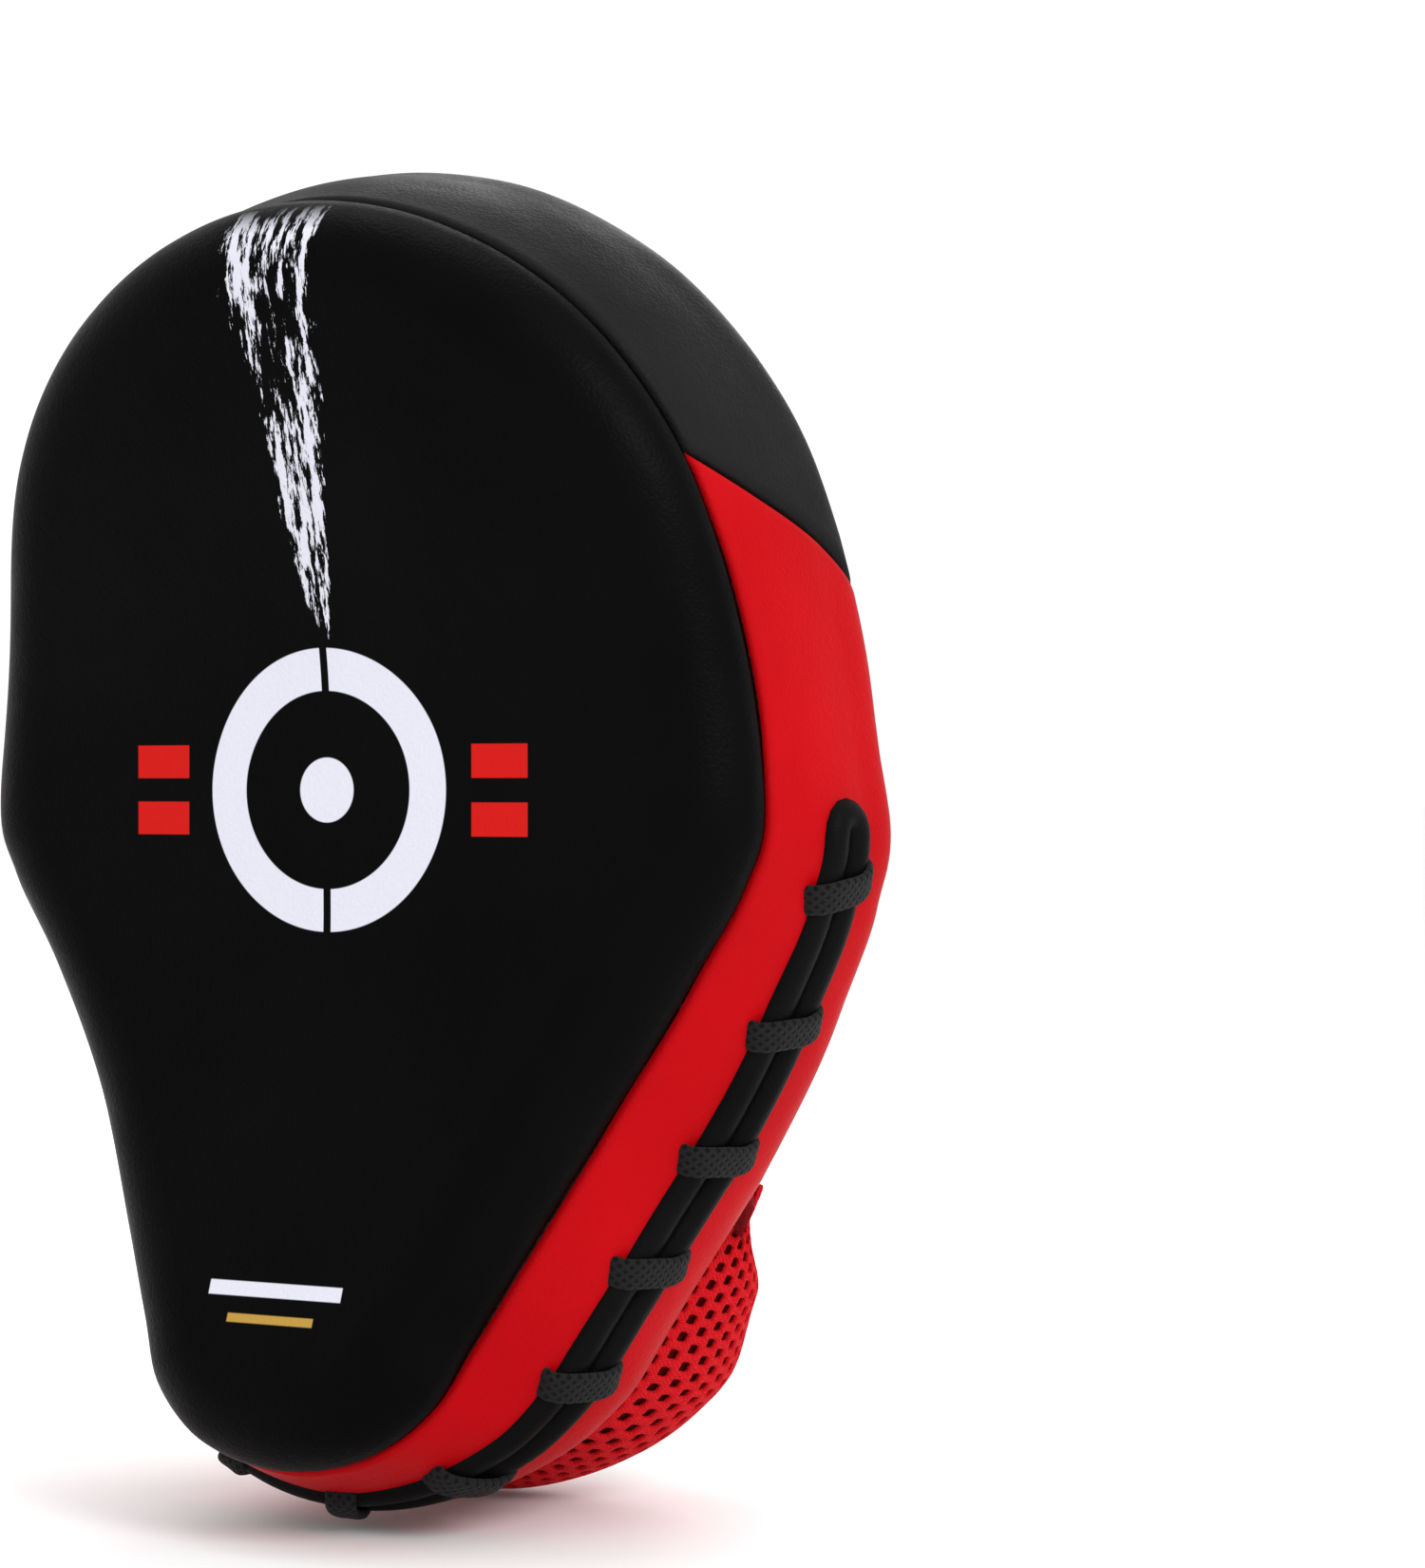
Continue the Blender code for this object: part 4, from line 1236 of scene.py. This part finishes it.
def hood_at(across, s):
    """Hood surface at an arc length across from the crown line; clamped to the hood's own edges."""
    inside = True
    if s > HOOD_TOP_S - 5 * MM:
        s, inside = HOOD_TOP_S - 5 * MM, False
    table = hood_arc(max(s, -12 * MM))
    reach = abs(across)
    if reach >= table[-1][0]:
        share, inside = 1.0, False
    else:
        for (l0, h0), (l1, h1) in zip(table, table[1:]):
            if reach <= l1:
                share = mix(h0, h1, (reach - l0) / (l1 - l0))
                break
    low = mouth_s(share)
    if s < low:
        s, inside = low, False
    x = math.copysign(share * hood_half_width(s), across)
    below = patch_half_width(max(s - NET_UNDER_PATCH, PATCH_EDGE[-1][1] + 0.5 * MM))
    covered = abs(x) < patch_half_width(s) - NET_UNDER_PATCH and abs(x) < below - 4 * MM
    return place(x, s, hood_depth(x, s)), inside, covered and inside


def hood_surface(a, b, height=0.0, mouth_gap=0.0):
    """As the CAD hood: a height below 0 is a smaller arch inside the outer surface."""
    share = mix(1, -1, a)
    s = mix(HOOD_TOP_S - 4 * MM, mouth_s(share) + mouth_gap, b)
    width = hood_half_width(s)
    rise = hood_depth(share * width, s) - HOOD_BASE_DEPTH
    crown = max(hood_depth(0, s) - HOOD_BASE_DEPTH, 1 * MM)
    return place(share * (width + height), s, HOOD_BASE_DEPTH + rise * (crown + height) / crown)


def tucked(x, s, depth):
    """(x, s, depth) of trim that dips under the wall's back edge, and goes no further out."""
    nearest = min(range(0, len(OUTLINE) // 2, 2),
                  key=lambda i: (OUTLINE[i][0] - x) ** 2 + (OUTLINE[i][1] - s) ** 2)
    (edge_x, edge_s), (nx, ns) = outline(nearest / len(OUTLINE))
    limit = wall_stations(edge_s)[-1][0] + 0.5 * MM
    out = (x - edge_x) * nx + (s - edge_s) * ns
    depth -= 5 * MM * smoothstep(limit - 5 * MM, limit, out)
    if out > limit:
        x, s = x + nx * (limit - out), s + ns * (limit - out)
    return x, s, depth


def hood_edge(offset, depth, start, end, count, side):
    """Points beside the hood's seam, offset outward from it."""
    points = []
    for k in range(count):
        t = mix(start, end, k / (count - 1))
        x, s = curve_through(HOOD_SEAM, t)
        x2, s2 = curve_through(HOOD_SEAM, t + 1e-3)
        size = math.hypot(x2 - x, s2 - s)
        x, s, deep = tucked(x - (s2 - s) / size * offset, s + (x2 - x) / size * offset, depth)
        points.append(place(side * x, s, deep))
    return points


def hood_net():
    """The hood's red net, laid out from its crown line, and the red backing under it."""
    reach = hood_arc(HOOD_CREST_S)[-1][0] + MESH_PITCH
    row_height = MESH_PITCH * MESH_ROW_RATIO
    cols = int(2 * reach / MESH_PITCH) + 2
    rows = int((HOOD_TOP_S - HOOD_NET_FOOT_S) / row_height) + 2

    def at(p, q):
        return hood_at((p - cols / 2) * MESH_PITCH, q * row_height + HOOD_NET_FOOT_S)

    net = honeycomb(at, cols, rows)
    make_piece("hood_net", net, mesh_red, ["hood_mesh"], HOOD_MIDDLE, NET_THICK, smooth=1)

    def under_net(a, b):
        """The backing's side edges reach down to the palm cover, which closes the slit under the net."""
        sink = 3.2 * MM * (1 - smoothstep(0, 0.05, min(a, 1 - a)))
        return hood_surface(a, b, -2.3 * MM) - TOWARDS_HAND * sink

    backing = grid(under_net, 90, 60)
    make_piece("hood_net_backing", backing, backing_shaded_red, [], HOOD_MIDDLE, BACKING_THICK)


def patch_outer(a, b):
    """The padded patch's leather: a soft swell inside the furrow of its inner row of stitches."""
    b = mix(0.01, 0.985, b)
    x, _ = curve_through(PATCH_EDGE, b)
    width = 2 * abs(x)
    gap = min(a * width, (1 - a) * width, b * 120 * MM, (1 - b) * 150 * MM)
    swell = 2.9 * MM + 1.6 * MM * smoothstep(7 * MM, 26 * MM, gap)
    swell -= edge_roll(gap, 1.6 * MM) + groove(gap - PATCH_STITCHES[1], 0.8 * MM, 0.9 * MM)
    point = patch(a, b)
    swell += ripple(point, 18 * MM, 0.35 * MM, 5)
    return point + normal_at(patch, a, b, HOOD_MIDDLE) * swell


def hood_patch():
    """The patch, and two rows of stitches that run up one side of it and down the other."""
    sheet = grid(patch_outer, 110, 120)
    make_piece("hood_leather_patch", sheet, red, ["hood_patch"], HOOD_MIDDLE, 1.3 * MM)
    rows = []
    for inset in PATCH_STITCHES:
        def route(t, inset=inset):
            b = 0.03 + 0.94 * (1 - abs(2 * t - 1))
            x, _ = curve_through(PATCH_EDGE, b)
            share = min(inset / max(2 * abs(x), 1 * MM), 0.5)
            if b > 0.9:
                b = min(b, 1 - inset / (150 * MM))
            return (share if t < 0.5 else 1 - share), b
        rows.append(path_on(patch_outer, route, 300, HOOD_MIDDLE, 0.05 * MM))
    stitch_rows("patch_stitching", rows, red_thread)


def hood_mouth_roll():
    """The rolled edge round the hood's opening."""
    mouth, ups = [], []
    for k in range(121):
        mouth.append(hood_surface(k / 120, 1, -0.6 * MM, mouth_gap=-1.0 * MM))
        ups.append(normal_at(hood_surface, k / 120, 0.995, HOOD_MIDDLE))
    bm = sweep(mouth, ups, oval(*HOOD_MOUTH_ROLL))
    make_piece("hood_mouth_roll", bm, mesh_red, ["hood_mouth_binding"])


def hood_seams():
    """The cord and the stitched tape along each side of the hood."""
    steps = 70
    for side, word in SIDES:
        cord = hood_edge(2.2 * MM, PAD_DEPTH + 3.0 * MM, 0.0, 0.57, 80, side)
        bm = sweep(cord, [TOWARDS_HAND] * len(cord), oval(*HOOD_CORD, 12))
        make_piece("hood_cord_" + word, bm, red, ["hood_piping_" + word])
        inner = hood_edge(3.6 * MM, PAD_DEPTH + 2.4 * MM, 0.0, 0.55, steps + 1, side)
        outer = hood_edge(TAPE_OUTER, PAD_DEPTH + 2.6 * MM, 0.0, 0.5, steps + 1, side)

        def strip(a, b, inner=inner, outer=outer):
            k = min(int(b * steps), steps - 1)
            near = inner[k].lerp(inner[k + 1], b * steps - k)
            far = outer[k].lerp(outer[k + 1], b * steps - k)
            swell = 1.5 * MM * math.sin(math.pi * a) ** 0.6 + 0.3 * MM
            return near.lerp(far, a) + TOWARDS_HAND * (swell - groove(a - TAPE_STITCH, 0.5 * MM, 0.09))

        bm = grid(strip, 16, 100)
        make_piece("hood_tape_" + word, bm, red, ["hood_strip_" + word], PAD_MIDDLE, LEATHER_THICK)
        row = path_on(strip, lambda t: (TAPE_STITCH, mix(0.02, 0.98, t)), 100, PAD_MIDDLE)
        stitch_rows("hood_tape_stitching_" + word, [row], red_thread)


# Hand band.

def slack(point, seed):
    """The band's leather pulls in soft waves towards its seams."""
    return ripple(point, 21 * MM, 0.7 * MM, seed) + ripple(point, 8 * MM, 0.16 * MM, seed + 2)


def tongue(a, b):
    """The tongue over the knuckles, which goes in under the band's top edge."""
    s = mix(TONGUE_TOP_S, BAND_TOP_S - 4 * MM, b)
    narrow = 1 - 0.12 * smoothstep(BAND_TOP_S, TONGUE_TOP_S, s)
    x = mix(1, -1, a) * TONGUE_HALF_WIDTH * narrow
    tuck = 1.3 * MM * smoothstep(BAND_TOP_S + 3 * MM, BAND_TOP_S, s)
    return place(x, s, band_depth(x, s) - 6 * MM * smoothstep(0, TONGUE_TOP_S, s) - tuck)


def tongue_outer(a, b):
    gap = min(a, 1 - a) * 2 * TONGUE_HALF_WIDTH
    point = tongue(a, b)
    height = slack(point, 21) - groove(gap - TONGUE_STITCHES[1], 0.4 * MM) - edge_roll(gap, 1.1 * MM)
    return point + normal_at(tongue, a, b, PAD_MIDDLE) * height


def band_s(b):
    """s at a share b of the way down the band."""
    return mix(BAND_TOP_S, BAND_BOTTOM_S, b)


def centre(a, b):
    """The band's centre panel."""
    s = band_s(b)
    x = mix(1, -1, a) * seam_half_width(s)
    return place(x, s, band_depth(x, s))


def centre_outer(a, b):
    gap = min(a * 2, (1 - a) * 2) * seam_half_width(band_s(b))
    top = b * BAND_TALL
    furrows = groove(gap - BAND_SEAM_STITCH, 0.5 * MM, 0.9 * MM)
    furrows += groove(top - BAND_TOP_STITCHES[0], 0.5 * MM)
    furrows += groove((1 - b) * BAND_TALL - BAND_FOOT_STITCH, 0.4 * MM)
    point = centre(a, b)
    height = 0.3 * MM + slack(point, 31) - furrows - edge_roll(top, 1.1 * MM)
    return point + normal_at(centre, a, b, PAD_MIDDLE) * height


def gore(side):
    """The band's side piece between the centre panel and the side band."""
    def surface(a, b):
        s = band_s(b)
        x = side * mix(seam_half_width(s), band_half_width(s) + 1.2 * MM, a)
        return place(x, s, band_depth(x, s))

    def outer(a, b):
        s = band_s(b)
        gap = a * (band_half_width(s) - seam_half_width(s))
        top = b * BAND_TALL
        point = surface(a, b)
        height = slack(point, 41) - groove(top - BAND_TOP_STITCHES[0], 0.5 * MM)
        height -= edge_roll(gap, 0.7 * MM) + edge_roll(top, 1.1 * MM)
        return point + normal_at(surface, a, b, PAD_MIDDLE) * height

    return outer


def band_piece(name, bm, node, solid=0.0):
    """One white piece of the band; a sheet has a thickness, and a roll has none."""
    make_piece(name, bm, white, [node], PAD_MIDDLE if solid else None, solid, blended=True)


def band_pieces():
    """Tongue, three panels, two hems and a roll, with their rows of stitches."""
    band_piece("knuckle_tongue", grid(tongue_outer, 110, 70), "hand_tongue", LEATHER_THICK)
    band_piece("band_middle", grid(centre_outer, 120, 70), "hand_band_centre", BAND_THICK)
    rows = []

    def sew(surface, route, count):
        rows.append(path_on(surface, route, count, PAD_MIDDLE))

    for inset in TONGUE_STITCHES:
        share = inset / (2 * TONGUE_HALF_WIDTH)
        for a in (share, 1 - share):
            sew(tongue_outer, lambda t, a=a: (a, mix(0, 0.93, t)), 60)
    for down in BAND_TOP_STITCHES:
        sew(centre_outer, lambda t, d=down: (t, d / BAND_TALL), 90)
    share = BAND_SEAM_STITCH / (2 * TONGUE_HALF_WIDTH)
    for a in (share, 1 - share):
        sew(centre_outer, lambda t, a=a: (a, mix(0.02, 0.98, t)), 60)
    sew(centre_outer, lambda t: (mix(0.01, 0.99, t), 1 - BAND_FOOT_STITCH / BAND_TALL), 90)
    whip = []
    for side, word in SIDES:
        outer = gore(side)
        band_piece("band_side_" + word, grid(outer, 30, 70), "hand_band_" + word, BAND_THICK)
        for down in BAND_TOP_STITCHES:
            sew(outer, lambda t, d=down: (t, d / BAND_TALL), 24)
        sew(outer, lambda t: (t, 1 - BAND_FOOT_STITCH / BAND_TALL), 24)
        whip.append(path_on(outer, lambda t: (0.99, t), 60, PAD_MIDDLE, 0.3 * MM))
        hem = []
        for k in range(21):
            x = mix(TONGUE_HALF_WIDTH + 0.5 * MM, band_half_width(BAND_TOP_S), k / 20)
            s = BAND_TOP_S + 0.8 * MM
            hem.append(place(side * x, s, band_depth(x, s) - 0.8 * MM))
        bm = sweep(hem, [TOWARDS_HAND] * len(hem), oval(*BAND_HEM, 12))
        band_piece("band_hem_" + word, bm, "band_top_hem_" + word)
    stitch_rows("band_stitching", rows, white_thread, blended=True)
    stitch_rows("band_whip_stitching", whip, white_thread, 1.1, blended=True)
    roll = []
    for k in range(121):
        s = BAND_BOTTOM_S - 1.9 * MM
        x = mix(-1, 1, k / 120) * (band_half_width(s) - 0.5 * MM)
        roll.append(place(x, s, band_depth(x, s) - 0.9 * MM))
    bm = sweep(roll, [TOWARDS_HAND] * len(roll), oval(*BAND_LOWER_ROLL))
    band_piece("band_lower_roll", bm, "band_binding")


# Wrist bolster.

def cover_sheet(a, b):
    """The cushion's shape before its leather is padded."""
    x, s = cover_edge(b)
    x = mix(x, -x, a)
    return place(x, s, bolster_depth(x, s))


def cover_outer(a, b):
    """The cushion's leather: a soft swell, with short puckers beside its seam."""
    b = mix(0, 0.995, b)
    x, _ = cover_edge(b)
    gap = min(min(a, 1 - a) * 2 * abs(x), (1 - b) * 60 * MM)
    point = cover_sheet(a, b)
    pull = ripple(point, 9 * MM, 0.9 * MM, 51)
    pull *= smoothstep(0, 5 * MM, gap) * (1 - smoothstep(8 * MM, 24 * MM, gap))
    swell = 1.0 * MM * smoothstep(0, 8 * MM, gap)
    return point + normal_at(cover_sheet, a, b, BOLSTER_MIDDLE) * (swell + pull - edge_roll(gap, 1.8 * MM))


def wrist_cushion():
    """The bolster's cover, settled as cloth with its border sewn."""
    bm = grid(cover_outer, 96, 104)
    border = {tuple(v.co) for v in bm.verts if v.is_boundary}
    bm = settle(bm, BOLSTER_MIDDLE, lambda p: tuple(p) in border, 0.035, 2.0, 4 * MM, 16)
    item = make_piece("wrist_cushion", bm, black, ["bolster_cover"], BOLSTER_MIDDLE, LEATHER_THICK)


def bolster_skirt():
    """Net round the bolster, the backing under it, and the seam at its top."""
    cols, rows = 48, 13

    def at(p, q):
        t, v = p / cols, q / rows
        inside = 0 <= t <= 1 and 0 <= v <= 1
        t, v = min(max(t, 0), 1), min(max(v, 0), 1)
        return skirt(t, mix(0.02, 1, v)), inside, False

    net = honeycomb(at, cols, rows)
    make_piece("bolster_net", net, mesh_red, ["bolster_mesh"], BOLSTER_MIDDLE, NET_THICK, smooth=1)

    def under_skirt(a, b):
        return skirt(a, mix(0.02, 1, b)) - normal_at(skirt, a, mix(0.05, 0.97, b), BOLSTER_MIDDLE) * 2.2 * MM

    backing = grid(under_skirt, 110, 24)
    make_piece("bolster_net_backing", backing, backing_shaded_red, [], BOLSTER_MIDDLE, 0.75 * BACKING_THICK)
    row = []
    for k in range(241):
        out = normal_at(skirt, k / 240, 0.04, BOLSTER_MIDDLE)
        row.append((skirt(k / 240, 0.02) + out * 0.1 * MM, out))
    stitch_rows("bolster_seam_stitching", [row], black_thread)


def paint_kept_nodes():
    """CAD nodes that stay in view, mostly inside the mitt, take the detailed materials."""
    looks = {
        "foam_strike_sheet": firm_foam, "foam_core": soft_foam, "foam_back_board": firm_foam,
        "lace_tongue": black, "hood_padding": firm_foam, "hood_lining": black, "bolster_foam": soft_foam,
    }
    for name, look in looks.items():
        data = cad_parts[name].data
        data.materials.clear()
        data.materials.append(look.mat)


# Studio.

def add_area(name, position, target, size, power):
    light = bpy.data.lights.new(name, "AREA")
    light.shape = "DISK"
    light.size = size
    light.energy = power
    item = link_object(name, light)
    item.location = position
    item.rotation_euler = (Vector(target) - Vector(position)).to_track_quat("-Z", "Y").to_euler()


def studio():
    low = cad_box[0].z
    bm = bmesh.new()
    rings = []
    for radius in (0.6, 1.5, 3.0, 8.0, 30.0):
        rings.append([bm.verts.new((x, y, low - 0.5 * MM)) for x, y in oval(radius, radius, 96)])
    bridge(bm, rings[::-1])
    bm.faces.new(rings[0])
    data = bpy.data.meshes.new("studio_floor")
    bm.to_mesh(data)
    bm.free()
    floor = link_object("studio_floor", data)
    m = Nodes("studio_floor")
    m.set(Base_Color=(0.93, 0.93, 0.93), Roughness=0.9, Specular_IOR_Level=0.1)
    data.materials.append(m.mat)

    world = bpy.data.worlds.new("studio")
    world.use_nodes = True
    background = world.node_tree.nodes["Background"]
    background.inputs["Color"].default_value = (1, 1, 1, 1)
    background.inputs["Strength"].default_value = 1.08
    bpy.context.scene.world = world
    middle = (0, -0.02, 0)
    add_area("key", (1.35, -0.6, 0.8), middle, 0.7, 13)
    add_area("top", (-0.2, 0.1, 1.7), middle, 0.9, 5)
    add_area("rear", (-0.5, 1.5, 0.8), middle, 0.9, 9)
    bpy.context.scene.view_settings.view_transform = "Standard"


CAMERA_AZIMUTH = math.radians(35)
CAMERA_DISTANCE = 0.9
CAMERA_TURN = math.radians(5.236)
CAMERA_TARGET = Vector((0, -62 * MM, 10.3 * MM))
CAMERA_LENS = 95.2


def camera():
    """35 degrees round from the face, turned so that the mitt stands left of the middle."""
    ahead = Vector((-math.sin(CAMERA_AZIMUTH), math.cos(CAMERA_AZIMUTH), 0))
    right = Vector((math.cos(CAMERA_AZIMUTH), math.sin(CAMERA_AZIMUTH), 0))
    data = bpy.data.cameras.new("camera")
    data.lens = CAMERA_LENS
    data.sensor_width = 36
    data.sensor_fit = "AUTO"
    data.clip_start = 0.01
    item = link_object("camera", data)
    item.location = CAMERA_TARGET - ahead * CAMERA_DISTANCE
    looking = ahead * math.cos(CAMERA_TURN) + right * math.sin(CAMERA_TURN)
    item.rotation_euler = looking.to_track_quat("-Z", "Y").to_euler()
    bpy.context.scene.camera = item


camera()
strike_cover()
finger_gusset()
side_band()
back()
slot_rolls()
cross_lace()
hood_net()
hood_patch()
hood_mouth_roll()
hood_seams()
band_pieces()
wrist_cushion()
bolster_skirt()
paint_kept_nodes()
studio()
